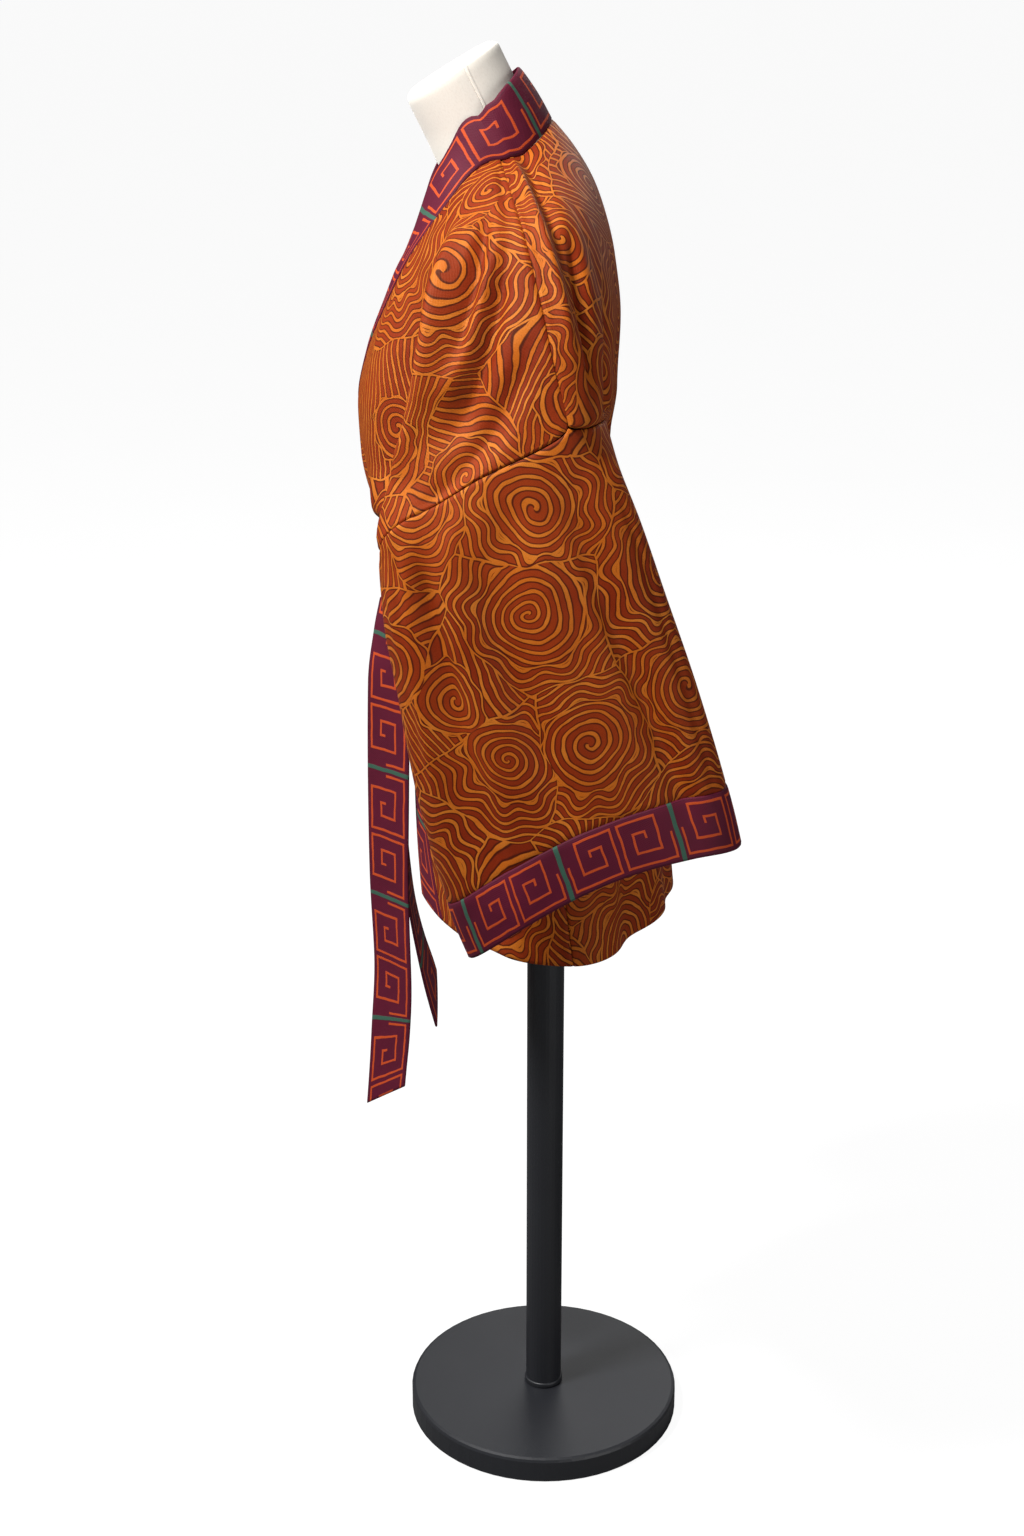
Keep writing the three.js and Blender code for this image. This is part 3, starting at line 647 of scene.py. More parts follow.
def placed(mesh: bpy.types.Mesh) -> bpy.types.Object:
    """Smooths a mesh and puts it in the scene.

    Args:
        mesh: The mesh.

    Returns:
        Its object, of the same name and at the origin.
    """
    mesh.polygons.foreach_set("use_smooth", [True] * len(mesh.polygons))
    mesh.update()
    obj = bpy.data.objects.new(mesh.name, mesh)
    bpy.context.scene.collection.objects.link(obj)
    return obj


def opened(grid: Array) -> Array:
    """A tube's points cut open, with the first column again at the end."""
    return np.concatenate([grid, grid[:, :1]], axis=1)


FLAT_LINES = 60  # lines each way of the coarse net that is laid flat


def resampled(grid: Array, count: int) -> Array:
    """Reads a grid at count evenly spaced rows, smoothly between its own rows.

    Args:
        grid: Rows of points.
        count: How many rows to read.

    Returns:
        The rows.
    """
    at = np.linspace(0, len(grid) - 1, count)
    i = np.clip(np.floor(at).astype(int), 0, len(grid) - 2)
    t = (at - i)[:, None, None]
    around = np.pad(grid, ((1, 1), (0, 0), (0, 0)), mode="reflect", reflect_type="odd")
    a, b, c, d = (around[i + k] for k in range(4))
    return b + 0.5 * t * (c - a + t * (2 * a - 5 * b + 4 * c - d + t * (3 * (b - c) + d - a)))


def netted(grid: Array, tall: int, wide: int) -> Array:
    """Reads a grid at evenly spaced rows and columns."""
    return resampled(resampled(grid, tall).swapaxes(0, 1), wide).swapaxes(0, 1)


def unwrapped(net: Array) -> Array:
    """Unwraps a net of points with the least stretch.

    Args:
        net: Points in metres, rows down and columns across.

    Returns:
        A flat place for each point, at any size and turn.
    """
    tall, wide = net.shape[:2]
    ids = np.arange(tall * wide).reshape(tall, wide)
    faces = np.stack([ids[:-1, :-1], ids[1:, :-1], ids[1:, 1:], ids[:-1, 1:]], axis=-1).reshape(-1, 4)
    mesh = bpy.data.meshes.new("net")
    mesh.from_pydata(net.reshape(-1, 3).tolist(), [], faces.tolist())
    mesh.uv_layers.new(name="flat")
    obj = bpy.data.objects.new("net", mesh)
    bpy.context.scene.collection.objects.link(obj)
    select_only(obj)
    bpy.ops.object.mode_set(mode="EDIT")
    bpy.ops.mesh.select_all(action="SELECT")
    bpy.ops.uv.unwrap(method="MINIMUM_STRETCH", iterations=60, margin=0.0)
    bpy.ops.object.mode_set(mode="OBJECT")
    flat = np.zeros(len(mesh.loops) * 2)
    mesh.uv_layers["flat"].uv.foreach_get("vector", flat)
    corner = np.zeros(len(mesh.loops), int)
    mesh.loops.foreach_get("vertex_index", corner)
    uv = np.zeros((tall * wide, 2))
    uv[corner] = flat.reshape(-1, 2)
    bpy.data.objects.remove(obj)
    bpy.data.meshes.remove(mesh)
    return uv.reshape(tall, wide, 2)


def laid_flat(grid: Array) -> Array:
    """Lays a curved grid out flat with the least stretch, as its cut piece of cloth.

    Args:
        grid: Points in millimetres, rows down and columns across.

    Returns:
        Flat places in metres, with the rows running down along -v and the middle at 0.
    """
    net = netted(grid, FLAT_LINES, FLAT_LINES) * MM
    uv = unwrapped(net)
    a, b = uv[1:, 1:] - uv[:-1, :-1], uv[:-1, 1:] - uv[1:, :-1]
    flat_area = np.abs(a[..., 0] * b[..., 1] - a[..., 1] * b[..., 0]).sum() / 2
    c, d = net[1:, 1:] - net[:-1, :-1], net[:-1, 1:] - net[1:, :-1]
    area = np.linalg.norm(np.cross(c, d), axis=-1).sum() / 2
    uv = (uv - uv.mean(axis=(0, 1))) * math.sqrt(area / flat_area)
    down = (uv[-1] - uv[0]).mean(axis=0)
    down = down / np.linalg.norm(down)
    across = np.array([-down[1], down[0]])
    uv = np.stack([uv @ across, -(uv @ down)], axis=-1)
    if (uv[:, -1, 0] - uv[:, 0, 0]).mean() < 0:
        uv[..., 0] *= -1
    return netted(uv, *grid.shape[:2])


def band_map(grid: Array, along_axis: int, start: float = 0.0, repeat: float = 0.0) -> Array:
    """Places on a straight band: u along it and v across it, in metres.

    Args:
        grid: Points in millimetres.
        along_axis: The grid's axis that runs along the band.
        start: Where the band's pattern starts, in millimetres.
        repeat: The pattern's repeat on a closed band, which a whole number of has to fit.

    Returns:
        The places.
    """
    middle = np.take(grid, grid.shape[1 - along_axis] // 2, axis=1 - along_axis)
    along = np.concatenate([[0], np.cumsum(np.linalg.norm(np.diff(middle, axis=0), axis=1))])
    if repeat:
        along = along * (round(along[-1] / repeat) * repeat / along[-1])
    along = along + start
    across = lengths(grid, 1 - along_axis)
    across = across / np.take(across, [-1], axis=1 - along_axis) - 0.5
    along = along[:, None] if along_axis == 0 else along[None]
    u, v = np.broadcast_arrays(along, across * BAND_WIDTH)
    return np.stack([u, v], axis=-1) * MM


EDGE_BULGE = 0.42  # how far a wall's edge stands out, in wall thicknesses


@dataclass
class Skin:
    """What a wall's mesh is put together from."""

    points: list[Array]
    faces: list[list[int]]
    corners: list[Array]
    reverse: list[Array]


@dataclass
class Wall:
    """A closed wall of cloth between two grids of points, with rounded edges."""

    name: str
    outer: Array
    inner: Array
    places: Array
    closed: bool = False

    def edge(self, outer: Array, inner: Array, before: Array) -> Array:
        """The middle line of a rounded edge, standing out past the two faces.

        Args:
            outer: The edge of the outer face.
            inner: The edge of the inner face.
            before: The next line of points, in the middle of the wall.

        Returns:
            The line in millimetres.
        """
        out = unit((outer + inner) / 2 - before)
        thick = np.linalg.norm(outer - inner, axis=-1, keepdims=True)
        return (outer + inner) / 2 + out * thick * EDGE_BULGE

    def build(self) -> bpy.types.Object:
        """Makes the mesh, its flat map and the attribute that tells its reverse.

        Returns:
            The object, at the origin.
        """
        outer, inner = self.outer, self.inner
        rows, cols = outer.shape[:2]
        core = (outer + inner) / 2
        first = self.edge(outer[0], inner[0], core[1])
        last = self.edge(outer[-1], inner[-1], core[-2])
        ring = np.concatenate([outer, last[None], inner[::-1], first[None]])
        places = self.places[:, : cols + (1 if self.closed else 0)]
        ring_places = np.concatenate([places, places[-1:], places[::-1], places[:1]])
        tall = len(ring)
        ids = np.arange(tall * cols).reshape(tall, cols)
        next_row = np.roll(ids, -1, axis=0)
        if self.closed:
            quads = np.stack([ids, next_row, np.roll(next_row, -1, 1), np.roll(ids, -1, 1)], axis=-1)
        else:
            quads = np.stack([ids[:, :-1], next_row[:, :-1], next_row[:, 1:], ids[:, 1:]], axis=-1)
        next_places = np.roll(ring_places, -1, axis=0)
        quad_places = np.stack(
            [ring_places[:, :-1], next_places[:, :-1], next_places[:, 1:], ring_places[:, 1:]], axis=2
        )
        back = np.concatenate([np.zeros(rows), [0.5], np.ones(rows), [0.5]])
        faces = [list(quad) for quad in quads.reshape(-1, 4)]
        skin = Skin([ring.reshape(-1, 3)], faces, [quad_places.reshape(-1, 2)], [np.repeat(back, cols)])
        if not self.closed:
            self.close_sides(ids, skin)
        return self.finished(skin)

    def close_sides(self, ids: Array, skin: Skin) -> None:
        """Rounds off the first and the last column of a wall that isn't a tube.

        Args:
            ids: The points' numbers, the outer face's rows and then the inner face's from the last one up.
            skin: What the sides are added to.
        """
        rows, cols = self.outer.shape[:2]
        core = (self.outer + self.inner) / 2
        offset = ids.size
        for column, before, flip in ((0, 1, False), (cols - 1, cols - 2, True)):
            skin.points.append(self.edge(self.outer[:, column], self.inner[:, column], core[:, before]))
            skin.reverse.append(np.full(rows, 0.5))
            mid = np.arange(rows) + offset
            offset += rows
            front, rear = ids[:rows, column], ids[rows + 1 : 2 * rows + 1, column][::-1]
            spots = self.places[:, column]
            for a, b in ((front, mid), (mid, rear)):
                for i in range(rows - 1):
                    face, spot = [a[i], b[i], b[i + 1], a[i + 1]], [i, i, i + 1, i + 1]
                    skin.faces.append(face[::-1] if flip else face)
                    skin.corners.append(spots[spot[::-1] if flip else spot])
            low, high = ids[-1, column], ids[rows, column]
            for i, rim, lead in ((0, low, True), (rows - 1, high, False)):
                for a, b in ((front[i], rim), (rim, rear[i])):
                    skin.faces.append([a, b, mid[i]] if lead != flip else [a, mid[i], b])
                    skin.corners.append(spots[[i, i, i]])

    def finished(self, skin: Skin) -> bpy.types.Object:
        """Puts the mesh together, turned so that its faces point outwards.

        Args:
            skin: What it is put together from.

        Returns:
            The object.
        """
        mesh = bpy.data.meshes.new(self.name)
        mesh.from_pydata((np.concatenate(skin.points) * MM).tolist(), [], skin.faces)
        layer = mesh.uv_layers.new(name="cloth")
        layer.uv.foreach_set("vector", np.concatenate(skin.corners).astype(np.float32).ravel())
        mark = mesh.attributes.new("reverse", "FLOAT", "POINT")
        mark.data.foreach_set("value", np.concatenate(skin.reverse).astype(np.float32))
        work = bmesh.new()
        work.from_mesh(mesh)
        if work.calc_volume(signed=True) < 0:
            bmesh.ops.reverse_faces(work, faces=work.faces[:])
        work.to_mesh(mesh)
        work.free()
        return placed(mesh)


# ---------------------------------------------------------------- finishes
class Nodes:
    """A material's node tree, with short ways to add what the finishes share."""

    def __init__(self, name: str) -> None:
        """Starts an empty material of this name.

        Args:
            name: The material's name.
        """
        self.material = bpy.data.materials.new(name)
        self.material.use_nodes = True
        self.tree = self.material.node_tree
        self.tree.nodes.clear()
        output = self.tree.nodes.new("ShaderNodeOutputMaterial")
        self.shader = self.tree.nodes.new("ShaderNodeBsdfPrincipled")
        self.tree.links.new(self.shader.outputs["BSDF"], output.inputs["Surface"])

    def link(self, value: object, socket: Socket) -> None:
        """Feeds a socket from another one, or sets it to a plain value.

        Args:
            value: A socket, a plain value, or None for what the socket has.
            socket: The socket to feed.
        """
        if isinstance(value, Socket):
            self.tree.links.new(value, socket)
        elif value is not None:
            socket.default_value = value

    def add(self, kind: str, inputs: dict[str, object], output: str, **settings: object) -> Socket:
        """Adds a node.

        Args:
            kind: Its type, without the common start of the name.
            inputs: What each of its inputs takes.
            output: The output that is wanted.
            **settings: Its own settings.

        Returns:
            The output's socket.
        """
        node = self.tree.nodes.new("ShaderNode" + kind)
        for key, value in settings.items():
            setattr(node, key, value)
        for key, value in inputs.items():
            self.link(value, node.inputs[key])
        return node.outputs[output]

    def math(self, operation: str, *values: object) -> Socket:
        """A sum of one to three numbers.

        Args:
            operation: Which one.
            *values: The numbers.

        Returns:
            The result's socket.
        """
        node = self.tree.nodes.new("ShaderNodeMath")
        node.operation = operation
        for value, socket in zip(values, node.inputs):
            self.link(value, socket)
        return node.outputs["Value"]

    def vector(self, operation: str, *values: object, output: str = "Vector") -> Socket:
        """A sum of one or two vectors.

        Args:
            operation: Which one.
            *values: The vectors.
            output: The output that is wanted.

        Returns:
            The result's socket.
        """
        node = self.tree.nodes.new("ShaderNodeVectorMath")
        node.operation = operation
        for value, socket in zip(values, node.inputs):
            self.link(value, socket)
        return node.outputs[output]

    def scaled(self, vector: object, scale: object) -> Socket:
        """A vector times a number.

        Args:
            vector: The vector.
            scale: The number.

        Returns:
            The result's socket.
        """
        node = self.tree.nodes.new("ShaderNodeVectorMath")
        node.operation = "SCALE"
        self.link(vector, node.inputs[0])
        self.link(scale, node.inputs["Scale"])
        return node.outputs["Vector"]

    def noise(self, where: object, scale: float, detail: float = 2.0, output: str = "Fac") -> Socket:
        """Soft noise at a place."""
        return self.add("TexNoise", {"Vector": where, "Scale": scale, "Detail": detail}, output)

    def nudge(self, where: object, scale: float, detail: float, reach: float) -> Socket:
        """A small shift that changes softly from place to place, as far as reach."""
        drift = self.vector("SUBTRACT", self.noise(where, scale, detail, "Color"), (0.5, 0.5, 0.5))
        return self.scaled(drift, reach)

    def mix(self, share: object, a: object, b: object, blend: str = "MIX") -> Socket:
        """Mixes two colours.

        Args:
            share: How much of b there is.
            a: One colour.
            b: The other colour.
            blend: How they are mixed.

        Returns:
            The result's socket.
        """
        node = self.tree.nodes.new("ShaderNodeMix")
        node.data_type, node.blend_type = "RGBA", blend
        self.link(share, node.inputs[0])
        self.link(a, node.inputs[6])
        self.link(b, node.inputs[7])
        return node.outputs[2]

    def step(
        self, value: object, low: float, high: float, to_low: float = 0.0, to_high: float = 1.0
    ) -> Socket:
        """A soft step of a value from to_low to to_high."""
        inputs = {"Value": value, "From Min": low, "From Max": high, "To Min": to_low, "To Max": to_high}
        return self.add("MapRange", inputs, "Result", interpolation_type="SMOOTHSTEP")

    def shaded(self, colour: object, value: object, more: float, least: float) -> Socket:
        """A colour times a grey that follows a value, from least up."""
        grey = self.math("MULTIPLY_ADD", value, more, least)
        return self.mix(1.0, colour, self.join(grey, grey, grey), "MULTIPLY")

    def split(self, vector: object) -> list[Socket]:
        """A vector's three numbers.

        Args:
            vector: The vector.

        Returns:
            Three sockets.
        """
        node = self.tree.nodes.new("ShaderNodeSeparateXYZ")
        self.link(vector, node.inputs[0])
        return list(node.outputs)

    def join(self, x: object, y: object, z: object = 0.0) -> Socket:
        """A vector from three numbers."""
        return self.add("CombineXYZ", {"X": x, "Y": y, "Z": z}, "Vector")

    def cloth_place(self) -> Socket:
        """The place on the flat cloth, in metres."""
        return self.add("UVMap", {}, "UV", uv_map="cloth")

    def reverse(self) -> Socket:
        """1 on the cloth's reverse side and 0 on its face."""
        return self.add("Attribute", {}, "Fac", attribute_name="reverse")

    def bump(self, height: object, depth: float, strength: float = 1.0, normal: object = None) -> Socket:
        """A bumped normal; depth in metres."""
        inputs = {"Height": height, "Distance": depth, "Strength": strength, "Normal": normal}
        return self.add("Bump", inputs, "Normal")

    def done(self, inputs: dict[str, object]) -> bpy.types.Material:
        """Feeds the shader.

        Args:
            inputs: What each of the shader's inputs takes.

        Returns:
            The material.
        """
        for key, value in inputs.items():
            self.link(value, self.shader.inputs[key])
        return self.material


def linear(red: int, green: int, blue: int) -> tuple[float, float, float, float]:
    """A display colour, 0 to 255, as the shader's linear colour.

    Args:
        red: Its red.
        green: Its green.
        blue: Its blue.

    Returns:
        Red, green, blue and a full alpha.
    """
    parts = [c / 255 for c in (red, green, blue)]
    low, high = 0.04045, 2.4
    return tuple(c / 12.92 if c <= low else ((c + 0.055) / 1.055) ** high for c in parts) + (1.0,)


THREADS = 1150.0  # threads of the printed cotton in a metre
FINE_THREADS = 900.0  # and of the trim and the jersey


def woven(nodes: Nodes, place: Socket, threads: float) -> Socket:
    """Height of a plain weave with slightly uneven threads, from 0 to 1.

    Args:
        nodes: The material's nodes.
        place: The place on the cloth, in metres.
        threads: Threads in a metre.

    Returns:
        The height.
    """
    place = nodes.vector("ADD", place, nodes.nudge(place, 260.0, 2.0, 0.0009))
    u, v, _ = nodes.split(nodes.scaled(place, threads * math.pi))
    half_weft = nodes.math("MULTIPLY", nodes.math("SINE", v), 0.5)
    return nodes.math("MULTIPLY_ADD", nodes.math("SINE", u), half_weft, 0.5)


@dataclass(frozen=True)
class SwirlPrint:
    """Printed cotton: rust strokes with a thin dark edge on gold, as coils and flowing bundles.

    Lengths are metres on the flat cloth. cell is the spacing of the groups of strokes, pitch that of the
    strokes and ring a coil's radius, which varies by spread. A rim has this many lobes, of this depth, and
    the cloud round it has them deeper. drift, wobble and sway bend the strokes; channel is half a gold
    line's width and rim_line that of the line on a rim.
    """

    rust: tuple = linear(162, 57, 16)
    ember: tuple = linear(140, 41, 13)
    gold: tuple = linear(208, 107, 28)
    amber: tuple = linear(222, 126, 42)
    edge: tuple = linear(64, 15, 9)
    cell: float = 0.112
    pitch: float = 0.0090
    ring: float = 0.041
    drift: float = 0.052
    wobble: float = 0.0045
    sway: float = 0.042
    channel: float = 0.0008
    spread: float = 0.016
    lobes: int = 9
    lobe_deep: float = 0.0016
    cloud_deep: float = 0.0026
    rim_line: float = 0.0007
    scatter: float = 0.78
    fade: float = 0.6

    def build(self) -> bpy.types.Material:
        """Makes the material.

        Returns:
            The material.
        """
        n = Nodes("swirl_print")
        place = n.cloth_place()
        bent = n.vector("ADD", place, n.nudge(place, 6.5, 1.5, self.drift))
        bent = n.vector("ADD", bent, n.nudge(place, 46.0, 1.0, self.wobble))
        outline = n.vector("ADD", bent, n.nudge(place, 15.0, 1.0, self.sway))
        phase, apart = self.strokes(n, bent, outline)
        wave = n.math("PINGPONG", phase, 0.5)
        hand_drawn = n.noise(place, 75.0, 1.0)
        line = n.math("SUBTRACT", wave, n.math("MULTIPLY_ADD", hand_drawn, 0.17, 0.062))
        near = n.math("MINIMUM", line, apart)
        gold_share = n.step(near, -0.02, 0.03, 1.0, 0.0)
        edge_share = n.step(near, 0.08, 0.17, 1.0, 0.0)
        broad = n.noise(place, 6.0, 2.0)
        ground = n.mix(n.step(broad, 0.35, 0.65), self.rust, self.ember)
        colour = n.mix(n.math("MULTIPLY", edge_share, 0.85), ground, self.edge)
        gold = n.mix(n.step(n.noise(place, 22.0, 2.0), 0.4, 0.7), self.gold, self.amber)
        colour = n.mix(gold_share, colour, gold)
        grain = n.noise(place, 900.0, 2.0)
        colour = n.shaded(colour, grain, 0.44, 0.54)
        faded = n.mix(0.5, colour, linear(150, 92, 56))
        height = n.math("ADD", woven(n, place, THREADS), n.math("MULTIPLY", gold_share, 0.5))
        soft = n.bump(n.noise(place, 34.0, 3.0), 0.0022, 0.5)
        rough = n.math("MULTIPLY_ADD", grain, 0.12, 0.5)
        return n.done({
            "Base Color": n.mix(n.math("MULTIPLY", n.reverse(), self.fade), colour, faded),
            "Normal": n.bump(height, 0.00022, 0.8, soft),
            "Roughness": n.math("MULTIPLY_ADD", gold_share, -0.1, rough),
            "Sheen Weight": 0.04,
            "Sheen Roughness": 0.5,
            "Sheen Tint": linear(235, 150, 90),
            "Specular IOR Level": 0.24,
            "Specular Tint": linear(255, 205, 160),
        })

    def strokes(self, n: Nodes, bent: Socket, outline: Socket) -> tuple[Socket, Socket]:
        """Lays out the strokes.

        Args:
            n: The material's nodes.
            bent: The place on the cloth, already bent by soft noise.
            outline: The same place, swaying more, which the groups of strokes are parted by.

        Returns:
            A count of strokes, and how far the place is from the gold channels, in strokes.
        """
        cells = {"Vector": outline, "Scale": 1 / self.cell, "Randomness": self.scatter}
        node = self.cells(n, cells, "F1")
        border = self.cells(n, cells, "DISTANCE_TO_EDGE").outputs["Distance"]
        centre, tint = node.outputs["Position"], n.split(node.outputs["Color"])
        away = n.vector("SUBTRACT", bent, centre)
        dx, dy, _ = n.split(away)
        radius = n.vector("LENGTH", away, output="Value")
        angle = n.math("DIVIDE", n.math("ARCTAN2", dy, dx), 2 * math.pi)
        hand = n.math("SUBTRACT", n.math("MULTIPLY", n.math("GREATER_THAN", tint[0], 0.5), 2.0), 1.0)
        coil = n.math("ADD", n.math("DIVIDE", radius, self.pitch), n.math("MULTIPLY", hand, angle))
        lobes = n.math("SINE", n.math("MULTIPLY", angle, 2 * math.pi * self.lobes))
        rim = n.math("MULTIPLY_ADD", tint[1], self.spread, self.ring - self.spread / 2)
        rim = n.math("MULTIPLY_ADD", lobes, self.lobe_deep, rim)
        outside = n.math("SUBTRACT", radius, rim)
        lean = n.math("MULTIPLY", tint[2], 2 * math.pi)
        u, v, _ = n.split(bent)
        run_u = n.math("MULTIPLY", u, n.math("COSINE", lean))
        run_v = n.math("MULTIPLY", v, n.math("SINE", lean))
        flow = n.math("DIVIDE", n.math("ADD", run_u, run_v), self.pitch)
        flow = n.math("MULTIPLY_ADD", n.noise(bent, 12.0, 0.0), 7.0, flow)
        billow = n.math("MULTIPLY", lobes, self.cloud_deep)
        cloud = n.math("DIVIDE", n.math("SUBTRACT", outside, billow), self.pitch)
        loose = self.either(n, n.math("LESS_THAN", tint[1], 0.5), flow, cloud)
        inside = n.math("LESS_THAN", outside, 0.0)
        off_rim = n.math("SUBTRACT", n.math("ABSOLUTE", outside), self.rim_line)
        rim_line = n.math("DIVIDE", off_rim, self.pitch)
        channel = n.math("SUBTRACT", n.math("MULTIPLY", border, self.cell), self.channel)
        channel = n.math("ADD", n.math("DIVIDE", channel, self.pitch), inside)
        return self.either(n, inside, coil, loose), n.math("MINIMUM", rim_line, channel)

    def either(self, n: Nodes, choice: object, a: object, b: object) -> Socket:
        """The value a where choice is 1, and b where it is 0."""
        other = n.math("MULTIPLY", b, n.math("SUBTRACT", 1.0, choice))
        return n.math("ADD", n.math("MULTIPLY", a, choice), other)

    def cells(self, n: Nodes, inputs: dict[str, object], feature: str) -> bpy.types.Node:
        """A flat cell texture node.

        Args:
            n: The material's nodes.
            inputs: What each of its inputs takes.
            feature: What it measures.

        Returns:
            The node.
        """
        node = n.tree.nodes.new("ShaderNodeTexVoronoi")
        node.voronoi_dimensions, node.feature = "2D", feature
        for key, value in inputs.items():
            n.link(value, node.inputs[key])
        return node


@dataclass(frozen=True)
class KeyTrim:
    """Woven trim: burgundy with an orange square key, and a green bar between each pair of keys.

    Lengths are metres. turns is the spacing of a key's lines as a share of half_tall.
    """

    ground: tuple = linear(98, 11, 42)
    deep: tuple = linear(74, 6, 32)
    line: tuple = linear(192, 72, 26)
    bar: tuple = linear(56, 92, 76)
    repeat: float = CUFF_REPEAT * MM
    half_long: float = 0.0228
    half_tall: float = 0.0258
    turns: float = 0.5
    line_wide: float = 0.0024
    key_shift: float = 0.0012
    stitches_at: float = 0.0266

    def build(self, name: str) -> bpy.types.Material:
        """Makes the material.

        Args:
            name: The material's name.

        Returns:
            The material.
        """
        n = Nodes(name)
        place = n.cloth_place()
        u, v, _ = n.split(n.vector("ADD", place, n.nudge(place, 60.0, 1.0, 0.0022)))
        along = n.math("PINGPONG", u, self.repeat / 2)
        x = n.math("DIVIDE", n.math("SUBTRACT", along, self.repeat / 4 + self.key_shift), self.half_long)
        y = n.math("DIVIDE", n.math("ADD", v, self.half_tall * self.turns / 4), self.half_tall)
        low = n.math("LESS_THAN", y, 0.0)
        shift = n.math("MULTIPLY", low, self.turns / 2)
        reach = n.math("MAXIMUM", n.math("ABSOLUTE", n.math("SUBTRACT", x, shift)), n.math("ABSOLUTE", y))
        coil = n.math("DIVIDE", n.math("ADD", reach, shift), self.turns)
        half_line = self.line_wide / 2 / self.half_tall / self.turns
        wave = n.math("PINGPONG", coil, 0.5)
        key = n.step(wave, half_line * 0.85, half_line * 1.15, 1.0, 0.0)
        key = n.math("MULTIPLY", key, n.math("LESS_THAN", coil, 1 / self.turns + half_line * 1.2))
        key = n.math("MULTIPLY", key, n.math("GREATER_THAN", coil, 0.5))
        bar_share = n.step(along, 0.0019, 0.0025, 1.0, 0.0)
        off_line = n.math("ABSOLUTE", n.math("SUBTRACT", n.math("ABSOLUTE", v), self.stitches_at))
        stitches = n.step(off_line, 0.0003, 0.0006, 1.0, 0.0)
        broad = n.noise(place, 14.0, 2.0)
        colour = n.mix(broad, self.ground, self.deep)
        colour = n.mix(n.math("MULTIPLY", stitches, 0.5), colour, linear(50, 12, 30))
        colour = n.mix(key, colour, self.line)
        colour = n.mix(bar_share, colour, self.bar)
        grain = n.noise(place, 1000.0, 2.0)
        raised = n.math("MULTIPLY", n.math("MAXIMUM", key, bar_share), 0.7)
        height = n.math("ADD", woven(n, place, FINE_THREADS), raised)
        soft = n.bump(n.noise(place, 40.0, 2.0), 0.0015, 0.5)
        return n.done({
            "Base Color": n.shaded(colour, grain, 0.4, 0.8),
            "Normal": n.bump(height, 0.00024, 0.8, soft),
            "Roughness": n.math("MULTIPLY_ADD", grain, 0.14, 0.62),
            "Sheen Weight": 0.04,
            "Sheen Roughness": 0.5,
            "Sheen Tint": linear(200, 90, 100),
            "Specular IOR Level": 0.25,
        })


@dataclass(frozen=True)
class Jersey:
    """Pale cotton jersey stretched over the form."""

    pale: tuple = linear(245, 238, 226)
    shade: tuple = linear(232, 223, 209)

    def build(self) -> bpy.types.Material:
        """Makes the material.

        Returns:
            The material.
        """
        n = Nodes("cream_jersey")
        place = n.cloth_place()
        weave = woven(n, place, FINE_THREADS)
        flecks = n.noise(place, 320.0, 3.0)
        colour = n.mix(n.step(flecks, 0.4, 0.75, 0.0, 0.45), self.pale, self.shade)
        soft = n.bump(n.noise(place, 24.0, 2.0), 0.0008, 0.3)
        return n.done({
            # The colour is a little darker where the weave is low: painted shade between the threads.
            "Base Color": n.shaded(colour, weave, 0.06, 0.96),
            "Normal": n.bump(weave, 0.00010, 0.5, soft),
            "Roughness": n.math("MULTIPLY_ADD", flecks, 0.14, 0.78),
            "Sheen Weight": 0.25,
            "Specular IOR Level": 0.25,
        })


@dataclass(frozen=True)
class SatinBlack:
    """Black powder coat on steel: a fine orange-peel surface, a little smoother where it is handled."""

    tone: tuple = linear(33, 34, 38)
    dust: tuple = linear(46, 48, 52)

    def build(self) -> bpy.types.Material:
        """Makes the material.

        Returns:
            The material.
        """
        n = Nodes("satin_black")
        place = n.add("TexCoord", {}, "Object")
        peel = n.noise(place, 1400.0, 2.0)
        smears = n.noise(place, 9.0, 3.0)
        return n.done({
            "Base Color": n.mix(n.step(smears, 0.45, 0.8, 0.0, 0.25), self.tone, self.dust),
            "Normal": n.bump(peel, 0.00008, 0.5),
            "Roughness": n.math("MULTIPLY_ADD", smears, 0.12, 0.36),
            "Specular IOR Level": 0.45,
        })


@dataclass(frozen=True)
class StudioFloor:
    """Plain pale paper."""

    tone: tuple = (0.1, 0.1, 0.1, 1.0)
    light_tone: tuple = (0.12, 0.12, 0.12, 1.0)
    glow: float = 0.93

    def build(self) -> bpy.types.Material:
        """Makes the material.

        Returns:
            The material.
        """
        n = Nodes("pale_floor")
        place = n.add("TexCoord", {}, "Object")
        return n.done({
            "Base Color": n.mix(n.noise(place, 3.0), self.tone, self.light_tone),
            "Emission Color": (1.0, 1.0, 1.0, 1.0),
            "Emission Strength": self.glow,
            "Roughness": 0.9,
        })


# ---------------------------------------------------------------- pieces
@dataclass
class Finishes:
    """The materials, each made once."""

    swirl: bpy.types.Material = field(default_factory=lambda: SwirlPrint().build())
    trim: bpy.types.Material = field(default_factory=lambda: KeyTrim().build("key_trim"))
    belt: bpy.types.Material = field(
        default_factory=lambda: KeyTrim(repeat=BELT_REPEAT * MM, half_long=0.0304).build("key_belt")
    )
    jersey: bpy.types.Material = field(default_factory=lambda: Jersey().build())
    steel: bpy.types.Material = field(default_factory=lambda: SatinBlack().build())


def dressed(obj: bpy.types.Object, material: bpy.types.Material, slot: str, *nodes: str) -> bpy.types.Object:
    """Gives a piece its material and its body, and hides the solids that it stands for.

    Args:
        obj: The piece.
        material: Its finish.
        slot: Not used.
        *nodes: The solids that it replaces.

    Returns:
        The piece.
    """
    obj.data.materials.append(material)
    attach(obj, "root")
    if nodes:
        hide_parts(*nodes)
    return obj


